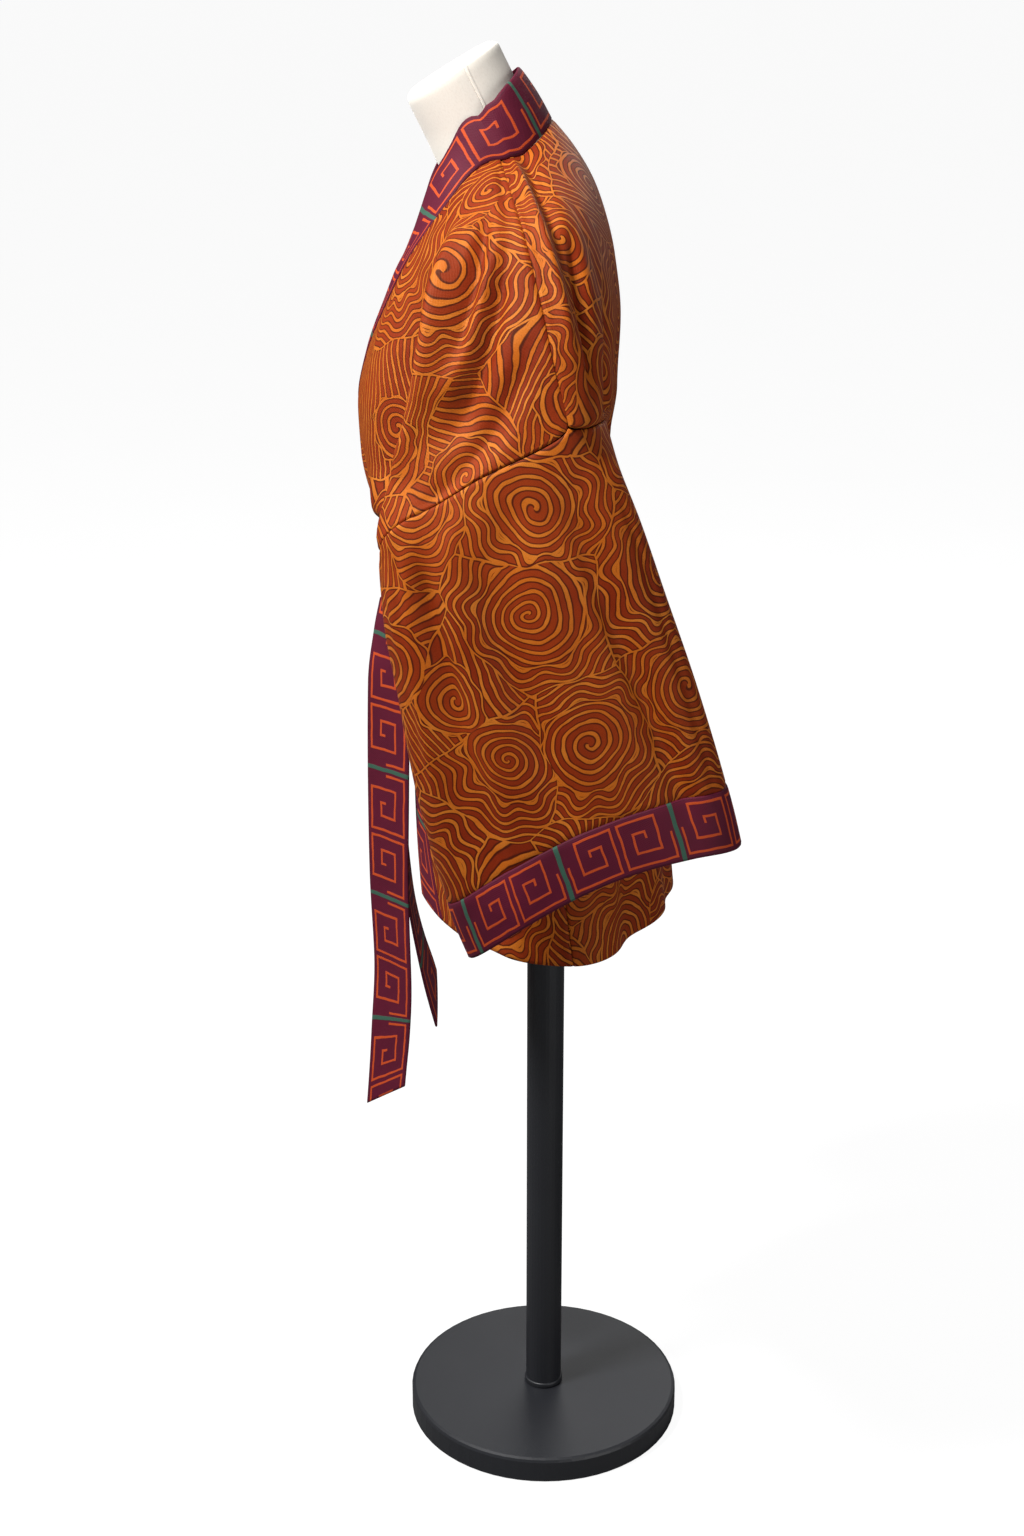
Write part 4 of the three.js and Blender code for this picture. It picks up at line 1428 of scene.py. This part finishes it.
def shifted(places: Array, u: float, v: float) -> Array:
    """Places moved over the print, so that no two pieces are cut from the same spot."""
    return places + np.array([u, v])


NECK_SEAM = 30.0  # how far down the back the neck's seam still shows
NARROWEST = 24.0  # least width that a front's columns are spaced for


@dataclass
class BackPanel:
    """The back, cut in one piece from the neck to the hem."""

    flat: tuple[float, float] = (0.58, 0.86)
    area: float = 0.37
    columns: int = 150
    cut_at: tuple[float, float] = (0.31, 1.27)

    def surface(self, rows: Array, lift: float) -> Array:
        """The panel's points at a height over its face.

        Args:
            rows: Rows of the back.
            lift: Height over the face in millimetres.

        Returns:
            The points in millimetres.
        """
        end = BACK.at("end", rows) - turn(SEAM_GAP, rows)
        span = lerp(-end[:, None], end[:, None], np.linspace(0, 1, SPAN_STEPS)[None])
        width = lengths(BACK_PART.point(1, span, rows[:, None]), 1)[:, -1]
        share = seamed(width, self.columns)
        angle = lerp(-end[:, None], end[:, None], share)
        along = lengths(BACK_PART.point(1, angle, rows[:, None]), 0)
        away = np.minimum(share, 1 - share) * width[:, None]
        relief = sewn_edge(away, along) + hem_edge(along[-1:] - along, share * width[:, None])
        relief += sewn_edge(along, share * width[:, None]) * (along < NECK_SEAM)
        return BACK_PART.point(1, angle, rows[:, None], relief + lift)

    def build(self, finishes: Finishes) -> Objects:
        """Makes the back panel.

        Args:
            finishes: The materials.

        Returns:
            The piece.
        """
        marks = [0, 0.03, SHOULDER_FOOT, ARMHOLE_BACK, ARMPIT, BELT_TOP, BELT_FOOT, HEM]
        rows = stations(marks, lambda r: BACK_PART.base(np.zeros_like(r), r))
        outer = self.surface(rows, 0.0)
        wall = Wall("cloth_back", outer, self.surface(rows, -CLOTH), shifted(laid_flat(outer), *self.cut_at))
        obj = dressed(wall.build(), finishes.swirl, "print", "back")
        return [obj]


@dataclass
class FrontPanel:
    """One front, from the shoulder seam to the hem."""

    side: Side
    flat: tuple[float, float] = (0.46, 0.88)
    area: float = 0.2
    columns: int = 96
    cut_at: tuple[float, float] = (2.17, 0.44)

    def surface(self, rows: Array, lift: float) -> Array:
        """The panel's points at a height over its face.

        Args:
            rows: Rows of the front.
            lift: Height over the face in millimetres.

        Returns:
            The points in millimetres.
        """
        side = self.side.value
        end = FRONT.at("end", rows) - turn(SEAM_GAP, rows)
        start = collar_angle(side, rows)
        span = lerp(start[:, None], end[:, None], np.linspace(0, 1, SPAN_STEPS)[None])
        width = np.maximum(lengths(front_point(side, span, rows[:, None]), 1)[:, -1], NARROWEST)
        share = seamed(width, self.columns)
        angle = lerp(start[:, None], end[:, None], share)
        along = lengths(front_point(side, angle, rows[:, None]), 0)
        across = share * width[:, None]
        relief = sewn_edge(width[:, None] - across, along) + sewn_edge(across, along, 0.6)
        relief += hem_edge(along[-1:] - along, across)
        return front_point(side, angle, rows[:, None], relief + lift)

    def build(self, finishes: Finishes) -> Objects:
        """Makes the front panel.

        Args:
            finishes: The materials.

        Returns:
            The piece.
        """
        word = self.side.word
        marks = [0, 0.03, SHOULDER_FOOT, 6, ARMHOLE_FOOT, ARMPIT, BELT_TOP, BELT_FOOT, HEM]
        rows = stations(marks, lambda r: front_point(1, np.full_like(r, 40), r))
        outer = self.surface(rows, 0.0)
        places = shifted(laid_flat(outer), *self.cut_at)
        wall = Wall(f"cloth_front_{word}", outer, self.surface(rows, -CLOTH), places)
        obj = dressed(wall.build(), finishes.swirl, "print", f"front_{word}")
        return [obj]


@dataclass
class Collar:
    """Half of the collar band, from the centre back down one front to the hem."""

    side: Side
    start: float = 96.0
    length: float = 1.0
    columns: int = 15
    falls_at: float = 0.7
    falls_over: float = 1.4
    roll: float = 1.5

    def seam(self, at: Array, lift: float = 0.0) -> Array:
        """Points of its seam: -1 on the centre back, 0 at the shoulder, then the front's rows.

        Args:
            at: Places along the seam.
            lift: Height over the panels in millimetres.

        Returns:
            The points in millimetres.
        """
        side = self.side.value
        back = BACK_PART.point(side, 90 * (1 + np.minimum(at, 0)), np.zeros_like(at), lift)
        down = np.maximum(at, 0)
        front = front_point(side, collar_angle(side, down), down, lift)
        return np.where((at < 0)[..., None], back, front)

    def surface(self, at: Array, lift: float) -> Array:
        """The band's points at a height over its face, the free edge first.

        Args:
            at: Places along the seam.
            lift: Height over the face in millimetres.

        Returns:
            The points in millimetres.
        """
        side = self.side.value
        share = np.linspace(1, 0, self.columns)[None]
        seam = self.seam(at)
        stand = [STANDING.at(n, np.minimum(4 * (at + 1), STANDING.last)) for n in ("inward", "forward", "up")]
        across = np.stack([-side * stand[0], -stand[1], stand[2]], axis=-1)
        run = self.seam(at + PROBE) - self.seam(np.maximum(at - PROBE, -1))
        outward = unit(np.cross(run, across)) * -side
        reach = np.linalg.norm(across, axis=-1)[:, None]
        roll = self.roll * np.sin(np.pi * share) - 0.6 * np.exp(-(((1 - share) / 0.05) ** 2))
        lies = ease((at - self.falls_at) / self.falls_over)
        out = (lift + roll * (1 - lies)[:, None])[..., None]
        part = lerp(SEAM_GAP / reach, 1.0, share)[..., None]
        standing = seam[:, None] + across[:, None] * part + outward[:, None] * out
        down = np.maximum(at, 0)
        fall = self.seam(np.minimum(HEM, down + 0.1)) - self.seam(np.maximum(0, down - 0.1))
        slope = np.hypot(1, fall[:, 0] / np.hypot(fall[:, 1], fall[:, 2]))
        width = lerp(SEAM_GAP, BAND_WIDTH, share) * slope[:, None]
        proud = 0.8 * ease((down - 0.6) / 2) if self.side is Side.LEFT else np.zeros_like(down)
        angle = collar_angle(side, down)[:, None] - turn(width, down[:, None])
        lying = front_point(side, angle, down[:, None], lift + proud[:, None])
        points = lerp(standing, lying, lies[:, None, None])
        points[0, :, 0] = side * SEAM_GAP / 2
        return points

    def build(self, finishes: Finishes) -> Objects:
        """Makes this half of the collar.

        Args:
            finishes: The materials.

        Returns:
            The piece.
        """
        word = self.side.word
        marks = [-1, -0.05, 0, 1, 2, SHOULDER_FOOT, ARMHOLE_FOOT, ARMPIT, BELT_TOP, BELT_FOOT, HEM]
        at = stations(marks, self.seam, FINE_STEP)
        outer = self.surface(at, 0.0)
        places = band_map(outer, 0, self.start)
        wall = Wall(f"trim_collar_{word}", outer, self.surface(at, -TRIM), places)
        obj = dressed(wall.build(), finishes.belt, "trim", f"collar_{word}")
        return [obj]


SEAM_DROP = 1.4  # the sleeve's edge lies this far below the armhole
UNDERARM_DROP = 3.2  # and this far below and outside it under the arm
CUFF_SEAM = 5
CUFF_END = 6
CUFF_GAP = 0.004
CUFF_PROUD = 0.7


@dataclass
class Sleeve:
    """One wide sleeve and its cuff, hung from the armhole."""

    side: Side
    flat: tuple[float, float] = (0.67, 0.36)
    area: float = 0.205
    cuff_length: float = 0.67
    cuff_start: float = 74.0
    cut_at: tuple[float, float] = (0.9, 2.6)
    points: Array = field(init=False)
    angles: Array = field(init=False)

    def __post_init__(self) -> None:
        """Lays out the sleeve's columns, each from a point of the armhole down the ovals."""
        side = self.side.value
        front_rows = stations([ARMHOLE_FOOT, 6, SHOULDER_FOOT], self.front_edge, ARMHOLE_STEP)
        back_rows = stations([SHOULDER_FOOT, ARMHOLE_BACK], self.back_edge, ARMHOLE_STEP)
        inner_rows = stations([ARMHOLE_BACK, 7, ARMPIT], self.back_edge, ARMHOLE_STEP)
        under_rows = stations([ARMPIT, ARMHOLE_FOOT], self.front_edge, ARMHOLE_STEP)
        outer = np.concatenate([self.front_edge(front_rows), self.back_edge(back_rows[1:])])
        inner = np.concatenate([self.back_edge(inner_rows), self.front_edge(under_rows[1:])])
        tops, angles = [], []
        for line, start in ((outer, 0), (inner, 180)):
            share = np.concatenate([[0], np.cumsum(np.linalg.norm(np.diff(line, axis=0), axis=1))])
            share = (share / share[-1])[:-1]
            angle = start + 180 * lerp(share, np.arccos(1 - 2 * share) / np.pi, 0.4)
            under = np.maximum(0, -np.sin(np.radians(angle)))
            top = line[:-1] + np.stack(
                [side * UNDERARM_DROP * under, 0 * under, -lerp(SEAM_DROP, UNDERARM_DROP, under)], axis=-1
            )
            tops.append(top)
            angles.append(angle)
        self.angles = np.concatenate(angles)
        rings = [self.ring(i) for i in range(1, SLEEVE.last + 1)]
        self.points = np.stack([np.concatenate(tops), *rings])

    def front_edge(self, rows: Array) -> Array:
        """The armhole on the front."""
        return front_point(self.side.value, FRONT.at("end", rows), rows)

    def back_edge(self, rows: Array) -> Array:
        """The armhole on the back."""
        return BACK_PART.point(self.side.value, BACK.at("end", rows), rows)

    def ring(self, index: int) -> Array:
        """The sleeve's own oval at a whole row; angle 0 is the front edge and 180 the back edge.

        Args:
            index: The row.

        Returns:
            The points in millimetres.
        """
        row = SLEEVE.lines()[index]
        turned = np.radians(self.angles)
        along, out = -np.cos(turned), np.sin(turned)
        arch = out**2 * np.where(out > 0, row["arch"], -row["sag"])
        back_y = row["backY"] + (row["rightBack"] if self.side is Side.RIGHT else 0)
        bulge = (1 + signed_power(out, 0.85)) / 2
        x = self.side.value * lerp(row["inner"], row["outer"], bulge)
        y = lerp(row["frontY"], back_y, (1 + along) / 2)
        return np.stack([x, y, lerp(row["frontZ"], row["backZ"], (1 + along) / 2) + arch], axis=-1)

    def surface(self, rows: Array, lift: Array) -> Array:
        """Points of the tube at these rows, raised by the folds and by lift.

        Args:
            rows: Rows of the sleeve.
            lift: Height over the face in millimetres.

        Returns:
            The points in millimetres.
        """
        side = self.side.value
        inside = np.clip(rows, 0.1, CUFF_END - 0.1)
        down = through(self.points, inside + 0.1) - through(self.points, inside - 0.1)
        here = through(self.points, inside)
        around = np.roll(here, -4, axis=1) - np.roll(here, 4, axis=1)
        normal = unit(np.cross(around, down)) * -side
        angle, row = self.angles[None], rows[:, None]
        height = fold_height(SLEEVE_FOLDS, angle, row) + fold_height(SLEEVE_CREASES[side], angle, row)
        height = height + 0.5 * np.sin(np.radians(angle) * 5 + row * 1.3 + side) * ease(row)
        return through(self.points, rows) + normal * (height + lift)[..., None]

    def outside(self, rows: Array) -> Array:
        """The line down the outside of the sleeve."""
        return through(self.points, rows)[:, len(self.angles) // 4]

    def build(self, finishes: Finishes) -> Objects:
        """Makes the sleeve and its cuff.

        Args:
            finishes: The materials.

        Returns:
            The sleeve and the cuff.
        """
        word = self.side.word
        marks = [0, 0.016, 0.04, 0.09, 1, 2, 3, 4, 4.965, 4.985, CUFF_SEAM - CUFF_GAP]
        rows = stations(marks, self.outside)
        bare = self.surface(rows, 0.0)
        along, around = lengths(bare, 0), lengths(bare, 1)
        relief = sewn_edge(along, around) + sewn_edge(along[-1:] - along, around, 0.7)
        grids = [self.surface(rows, relief), self.surface(rows, relief - CLOTH)]
        outer, inner = (np.roll(grid, len(self.angles) // 4, axis=1) for grid in grids)
        places = shifted(laid_flat(opened(outer)), *self.cut_at)
        wall = Wall(f"cloth_sleeve_{word}", outer, inner, places, True)
        sleeve = dressed(wall.build(), finishes.swirl, "print", f"sleeve_{word}")
        rows = stations([CUFF_SEAM + CUFF_GAP, 5.03, 5.97, CUFF_END], self.outside, FINE_STEP)
        bare = self.surface(rows, 0.0)
        along, around = lengths(bare, 0), lengths(bare, 1)
        relief = sewn_edge(along, around, 0.8) + 0.5 * np.sin(np.pi * along / along[-1:]) + CUFF_PROUD
        outer = self.surface(rows, relief)
        places = band_map(opened(outer), 1, self.cuff_start, CUFF_REPEAT)
        wall = Wall(f"trim_cuff_{word}", outer, self.surface(rows, relief - TRIM), places, True)
        cuff = dressed(wall.build(), finishes.trim, "trim", f"cuff_{word}")
        return [sleeve, cuff]


@dataclass
class Belt:
    """The belt round the waist, over both fronts and the collar."""

    low: float = 957.0
    high: float = 1013.0
    lift: float = 3.7
    step: float = 5.8
    length: float = 0.78
    rows: int = 15
    columns: int = 260

    def surface(self, lift: float) -> Array:
        """The belt's points, rows from its upper edge down and columns all the way round.

        Args:
            lift: Height over the face in millimetres.

        Returns:
            The points in millimetres.
        """
        angle = np.linspace(-180, 180, self.columns + 1)[None, :-1]
        height = np.linspace(self.high, self.low, self.rows)[:, None]
        row = BELT_TOP + (self.high + 1 - height) / (self.high + 2 - self.low)
        front = np.abs(angle) < 90
        own = np.where(front, angle, np.sign(angle) * (180 - np.abs(angle)))
        over = self.step * (1 - ease((np.abs(angle) - 62) / 26)) + self.lift + lift
        share = (self.high - height) / (self.high - self.low)
        over = over + 0.6 * np.sin(np.pi * share) + self.tucks(angle, share)
        return np.where(
            front[..., None], FRONT_PART.point(1, own, row, over), BACK_PART.point(1, own, row, over)
        )

    def tucks(self, angle: Array, share: Array) -> Array:
        """Long shallow creases that run towards the knot.

        Args:
            angle: Degrees from the centre line.
            share: 0 on the belt's upper edge and 1 on the lower one.

        Returns:
            Millimetres.
        """
        near = np.exp(-((np.abs(angle) / 34.0) ** 2))
        spread = 0.5 + (share - 0.5) * (1 + 0.9 * np.abs(angle) / 60)
        lines = np.exp(-(((spread - 0.32) / 0.07) ** 2)) + 0.8 * np.exp(-(((spread - 0.66) / 0.06) ** 2))
        far = 0.45 * np.exp(-(((share - 0.45 - 0.1 * np.sin(np.radians(angle * 1.7))) / 0.08) ** 2))
        return 1.1 * near * lines + far * ease((np.abs(angle) - 50) / 40)

    def build(self, finishes: Finishes) -> Objects:
        """Makes the belt.

        Args:
            finishes: The materials.

        Returns:
            The piece.
        """
        outer = self.surface(0.0)
        places = band_map(opened(outer), 1, repeat=BELT_REPEAT)
        wall = Wall("trim_belt", outer, self.surface(-TRIM), places, True)
        obj = dressed(wall.build(), finishes.belt, "trim", "belt")
        return [obj]


@dataclass
class BeltEnd:
    """One loose end of the belt, cut on the slant at its foot."""

    side: Side
    table: Table
    long_side: int
    start: float
    length: float
    slant: float = 40.0
    rows: int = 190
    columns: int = 17

    def surface(self, lift: float) -> Array:
        """The strip's points at a height over its face.

        Args:
            lift: Height over the face in millimetres.

        Returns:
            The points in millimetres.
        """
        row = np.linspace(0, self.table.last, self.rows)[:, None]
        share = np.linspace(-0.5, 0.5, self.columns)[None]
        get = {n: self.table.at(n, row) for n in ("x", "y", "z", "acrossX", "acrossY", "width")}
        across = unit(np.stack([get["acrossX"], get["acrossY"], 0 * row], axis=-1))
        outward = np.stack([across[..., 1], -across[..., 0], 0 * row], axis=-1)
        slant = -self.slant * share * self.long_side * ease((row - self.table.last + 2) / 2)
        centre = np.stack(np.broadcast_arrays(get["x"] + 0 * share, get["y"], get["z"] + slant), axis=-1)
        gather = ease((1.6 - row) / 1.6)
        pleat = 1.6 * gather * (1 + np.cos(2 * np.pi * (2.2 * share + 0.15 * self.side.value))) / 2
        wave = 0.9 * (1 + np.sin(row * 1.7 + self.side.value)) * (0.5 + share) * ease(row / 2)
        curl = 0.8 * (2 * share) ** 2 * ease((row - 0.8) / 2)
        height = (pleat + wave + curl + lift)[..., None]
        return centre + across * (share * get["width"])[..., None] + outward * height

    def build(self, finishes: Finishes) -> Objects:
        """Makes the belt's end.

        Args:
            finishes: The materials.

        Returns:
            The piece.
        """
        word = self.side.word
        outer = self.surface(0.0)
        wall = Wall(f"trim_belt_end_{word}", outer, self.surface(-TRIM), band_map(outer, 0, self.start))
        obj = dressed(wall.build(), finishes.belt, "trim", f"belt_end_{word}")
        return [obj]


@dataclass
class Knot:
    """The knot: the gathered belt with one turn of it wrapped over the middle."""

    x: float = 0.0
    y: float = -157.8
    z: float = 985.0
    half_wide: float = 28.0
    half_deep: float = 9.0
    half_high: float = 25.5
    rows: int = 45
    columns: int = 96
    wrap_wall: float = 1.8
    wrap_rows: int = 15
    wrap_columns: int = 120

    def gathered(self) -> tuple[Array, Array]:
        """The gathered cloth that shows at both sides of the wrap, from one side to the other.

        Returns:
            The points of the outer and the inner face, in millimetres.
        """
        turn_at = np.linspace(0, 2 * np.pi, self.columns + 1)[:-1][None]
        share = np.sin(np.linspace(-np.pi / 2, np.pi / 2, self.rows))[:, None]
        share = np.clip(share, -0.985, 0.985)
        round_off = (1 - np.abs(share) ** 3.2) ** 0.42
        waist = 1 - 0.18 * np.exp(-((share / 0.5) ** 2))
        pleats = 1 + 0.05 * np.sin(7 * turn_at + 2 * share) * ease(np.abs(share) / 0.4)
        deep = self.half_deep * round_off * waist * pleats * signed_power(np.cos(turn_at), 0.75)
        high = self.half_high * round_off * waist * pleats * signed_power(np.sin(turn_at), 0.75)
        sag = 1.2 * np.sin(share * 2.2)
        x = self.x + self.half_wide * share + 0 * turn_at
        outer = np.stack(np.broadcast_arrays(x, self.y - deep, self.z + high + sag), axis=-1)
        middle = outer.mean(axis=1, keepdims=True)
        return outer, lerp(outer, middle, 0.3)

    def wrapped(self) -> tuple[Array, Array]:
        """The turn of the belt that is drawn tight over the middle, on a slight slant.

        Returns:
            The points of the outer and the inner face, in millimetres.
        """
        turn_at = np.linspace(0, 2 * np.pi, self.wrap_columns + 1)[:-1][None]
        share = np.linspace(-0.5, 0.5, self.wrap_rows)[:, None]
        creases = 0.5 * np.cos(2 * np.pi * 2.6 * share + 0.7 * np.sin(turn_at))
        creases = creases + 0.35 * np.sin(4 * turn_at + 9 * share)
        swell = 0.6 * np.cos(np.pi * share)
        deep = (self.half_deep + 0.1 + swell + 0.7 * creases) * signed_power(np.cos(turn_at), 0.72)
        high = (self.half_high + 0.6 + swell + 0.5 * creases) * signed_power(np.sin(turn_at), 0.72)
        width = 33 + 5 * np.cos(turn_at) ** 2
        x = self.x + width * share + 4.0 * np.sin(turn_at)
        outer = np.stack(np.broadcast_arrays(x, self.y - deep, self.z + high), axis=-1)
        inward = unit(np.stack([0 * deep, deep, -high * 0.8], axis=-1))
        return outer, outer + inward * self.wrap_wall

    def build(self, finishes: Finishes) -> Objects:
        """Makes the two pieces of the knot.

        Args:
            finishes: The materials.

        Returns:
            The two pieces.
        """
        made = []
        for name, (outer, inner), start in (
            ("trim_knot", self.gathered(), 30.0),
            ("trim_knot_wrap", self.wrapped(), 12.0),
        ):
            wall = Wall(name, outer, inner, band_map(opened(outer), 1, start), True)
            made.append(dressed(wall.build(), finishes.belt, "trim", "belt_knot"))
        return made


@dataclass
class FormCover:
    """The form's stretched jersey, with a sewn line up each side and a flat cap on the neck."""

    columns: int = 150
    tuck: float = 1.3
    seam_at: float = 107.0

    def ring_angles(self) -> Array:
        """Angles round the form, closer together at the two side seams.

        Returns:
            Degrees.
        """
        near = np.linspace(-4.5, 4.5, 19)
        even = np.linspace(0, 360, self.columns + 1)[:-1]
        far = np.minimum(np.abs(even - self.seam_at), np.abs(even - 360 + self.seam_at)) > 5.5
        return np.sort(np.concatenate([even[far], self.seam_at + near, 360 - self.seam_at - near]))

    def build(self, finishes: Finishes) -> Objects:
        """Makes the cover.

        Args:
            finishes: The materials.

        Returns:
            The piece.
        """
        brim = FORM.last - 2
        spans = ((0, 1, 7), (1, brim, 150), (brim, FORM.last, 12))
        rings = np.concatenate([[0.0]] + [np.linspace(*span)[1:] for span in spans])
        angle = self.ring_angles()
        away = np.where(angle < 180, angle - self.seam_at, 360 - self.seam_at - angle)
        seam = 0.8 * np.exp(-(((away - 1.2) / 1.1) ** 2)) - 0.9 * np.exp(-(((away + 0.8) / 0.7) ** 2))
        at, turned = rings[:, None], np.radians(angle)[None]
        lean = np.radians(FORM.at("lean", at))
        inset = -self.tuck * (1 - ease((at - 11.2) / 1.2)) + seam[None] * ease((at - 11) / 1)
        edge = 0.5 * np.exp(-(((at - (FORM.last - 1.25)) / 0.3) ** 2))
        deep = (FORM.at("deep", at) + inset + edge) * np.cos(turned)
        x = (FORM.at("wide", at) + inset + edge) * np.sin(turned)
        y = FORM.at("y", at) - deep * np.cos(lean)
        z = FORM.at("z", at) - deep * np.sin(lean)
        grid = np.stack(np.broadcast_arrays(x, y, z), axis=-1)
        return [self.closed(grid, finishes)]

    def closed(self, grid: Array, finishes: Finishes) -> bpy.types.Object:
        """Joins the rings into one closed body with a pole at each end.

        Args:
            grid: The rings' points in millimetres.
            finishes: The materials.

        Returns:
            The piece.
        """
        rows, cols = grid.shape[:2]
        middle = opened(grid)[rows // 2]
        u = np.concatenate([[0], np.cumsum(np.linalg.norm(np.diff(middle, axis=0), axis=1))]) * MM
        v = lengths(grid, 0).mean(axis=1) * MM
        ids = np.arange(rows * cols).reshape(rows, cols)
        side = np.roll(ids, -1, axis=1)
        quads = np.stack([ids[:-1], side[:-1], side[1:], ids[1:]], axis=-1).reshape(-1, 4)
        uu, vv = np.meshgrid(u, v)
        uv = np.stack([uu, vv], axis=-1)
        corners = np.stack([uv[:-1, :-1], uv[:-1, 1:], uv[1:, 1:], uv[1:, :-1]], axis=2).reshape(-1, 2)
        low, high = rows * cols, rows * cols + 1
        caps = [[low, int(side[0, j]), int(ids[0, j])] for j in range(cols)]
        caps += [[high, int(ids[-1, j]), int(side[-1, j])] for j in range(cols)]
        flat = [grid[i][:, :2] * MM for i in (0, -1)]
        cap_uv = []
        for ring, order in ((flat[0], (1, 0)), (flat[1], (0, 1))):
            for j in range(cols):
                pair = [ring[(j + k) % cols] for k in order]
                cap_uv += [ring.mean(axis=0), *pair]
        points = np.concatenate([grid.reshape(-1, 3), grid[:1].mean(axis=1), grid[-1:].mean(axis=1)])
        mesh = bpy.data.meshes.new("form_cover")
        mesh.from_pydata((points * MM).tolist(), [], quads.tolist() + caps)
        layer = mesh.uv_layers.new(name="cloth")
        layer.uv.foreach_set("vector", np.concatenate([corners, np.array(cap_uv)]).astype(np.float32).ravel())
        return dressed(placed(mesh), finishes.jersey, "linen", "form")


@dataclass
class Stand:
    """The pole and the round base, with the collar ring at the pole's foot."""

    ring_radius: float = 0.0212
    ring_height: float = 0.006
    round_edge: float = 0.0016
    base_top: float = 0.029

    def build(self, finishes: Finishes) -> Objects:
        """Finishes the two solids and adds the ring.

        Args:
            finishes: The materials.

        Returns:
            The ring.
        """
        for name in ("base_disc", "pole"):
            solid = frame["nodes"][name]
            solid.data.materials.clear()
            solid.data.materials.append(finishes.steel)
        no_selection()
        bpy.ops.mesh.primitive_cylinder_add(
            vertices=96, radius=self.ring_radius, depth=self.ring_height,
            location=(0, 0, self.base_top + self.ring_height / 2 + TOUCH),
        )
        ring = bpy.context.view_layer.objects.active
        ring.name = ring.data.name = "pole_ring"
        bpy.ops.object.transform_apply(location=True)
        bevel = ring.modifiers.new("edge", "BEVEL")
        bevel.width, bevel.segments, bevel.limit_method = self.round_edge, 4, "ANGLE"
        bpy.ops.object.modifier_apply(modifier="edge")
        bpy.ops.object.shade_smooth_by_angle(angle=math.radians(40))
        return [dressed(ring, finishes.steel, "metal")]


def aimed(direction: Vector) -> Euler:
    """The turn that points a light or a camera this way."""
    return direction.to_track_quat("-Z", "Y").to_euler()


@dataclass(frozen=True)
class Lamp:
    """A soft square light that points at the jacket's middle."""

    name: str
    place: tuple[float, float, float]
    size: float
    watts: float
    target: tuple[float, float, float] = (0.0, 0.0, 0.9)

    def build(self) -> None:
        """Hangs the light."""
        lamp = bpy.data.lights.new(self.name, "AREA")
        lamp.energy, lamp.size = self.watts, self.size
        light = bpy.data.objects.new(self.name, lamp)
        light.location = self.place
        light.rotation_euler = aimed(Vector(self.target) - Vector(self.place))
        bpy.context.scene.collection.objects.link(light)


LAMPS = (
    Lamp("key", (1.0, -1.7, 3.9), size=0.7, watts=205.0),
    Lamp("front", (0.0, -3.5, 2.1), size=1.8, watts=34.0),
    Lamp("side", (2.6, 2.4, 0.9), size=2.5, watts=46.0),
    Lamp("back", (-2.8, 0.8, 2.6), size=2.4, watts=28.0),
)


@dataclass
class Studio:
    """A plain pale floor and soft light."""

    half: float = 40.0
    sky: float = 0.12

    def build(self) -> Objects:
        """Makes the floor, the lights and the sky.

        Returns:
            The floor.
        """
        no_selection()
        bpy.ops.mesh.primitive_plane_add(size=2 * self.half, location=(0, 0, -TOUCH))
        floor = bpy.context.view_layer.objects.active
        floor.name = "floor"
        bpy.ops.object.transform_apply(location=True)
        floor.data.materials.append(StudioFloor().build())
        lit = bpy.data.collections.new("floor_light")
        lit.objects.link(floor)
        floor.light_linking.receiver_collection = lit
        for lamp in LAMPS:
            lamp.build()
        world = bpy.data.worlds.new("studio")
        world.use_nodes = True
        background = world.node_tree.nodes["Background"]
        background.inputs["Color"].default_value = (1, 1, 1, 1)
        background.inputs["Strength"].default_value = self.sky
        bpy.context.scene.world = world
        bpy.context.scene.view_settings.view_transform = "Standard"
        return [floor]


@dataclass
class Viewpoint:
    """The camera, off the wearer's left side and a little above."""

    place: tuple[float, float, float] = (2.3, -0.036, 1.656)
    pitch: float = 20.95
    lens: float = 55.97

    def build(self) -> None:
        """Makes the camera and gives it to the scene."""
        camera = bpy.data.cameras.new("view")
        camera.lens, camera.sensor_width = self.lens, 36.0
        camera.clip_start, camera.clip_end = 0.05, 60.0
        obj = bpy.data.objects.new("view", camera)
        obj.location = self.place
        down = math.radians(self.pitch)
        obj.rotation_euler = aimed(Vector((-math.cos(down), 0, -math.sin(down))))
        bpy.context.scene.collection.objects.link(obj)
        bpy.context.scene.camera = obj


def main() -> None:
    """Builds every piece in order and reports each one."""
    logging.basicConfig(level=logging.INFO, format="%(message)s")
    Viewpoint().build()
    Studio().build()
    finishes = Finishes()
    makers = [
        Stand(),
        FormCover(),
        BackPanel(),
        FrontPanel(Side.LEFT),
        FrontPanel(Side.RIGHT, flat=(0.46, 0.87), area=0.225, cut_at=(3.4, 1.9)),
        Collar(Side.LEFT),
        Collar(Side.RIGHT, start=46.5, length=0.95),
        Sleeve(Side.LEFT),
        Sleeve(
            Side.RIGHT, flat=(0.61, 0.36), area=0.185, cuff_length=0.61, cuff_start=20.0, cut_at=(4.1, 0.7)
        ),
        Belt(),
        BeltEnd(Side.LEFT, LEFT_TAIL, -1, 107.5, 0.57),
        BeltEnd(Side.RIGHT, RIGHT_TAIL, 1, 20.0, 0.48),
        Knot(),
    ]
    for maker in makers:
        for obj in maker.build(finishes):
            log.info("%s: %d faces", obj.name, len(obj.data.polygons))


if __name__ == "__main__":
    main()
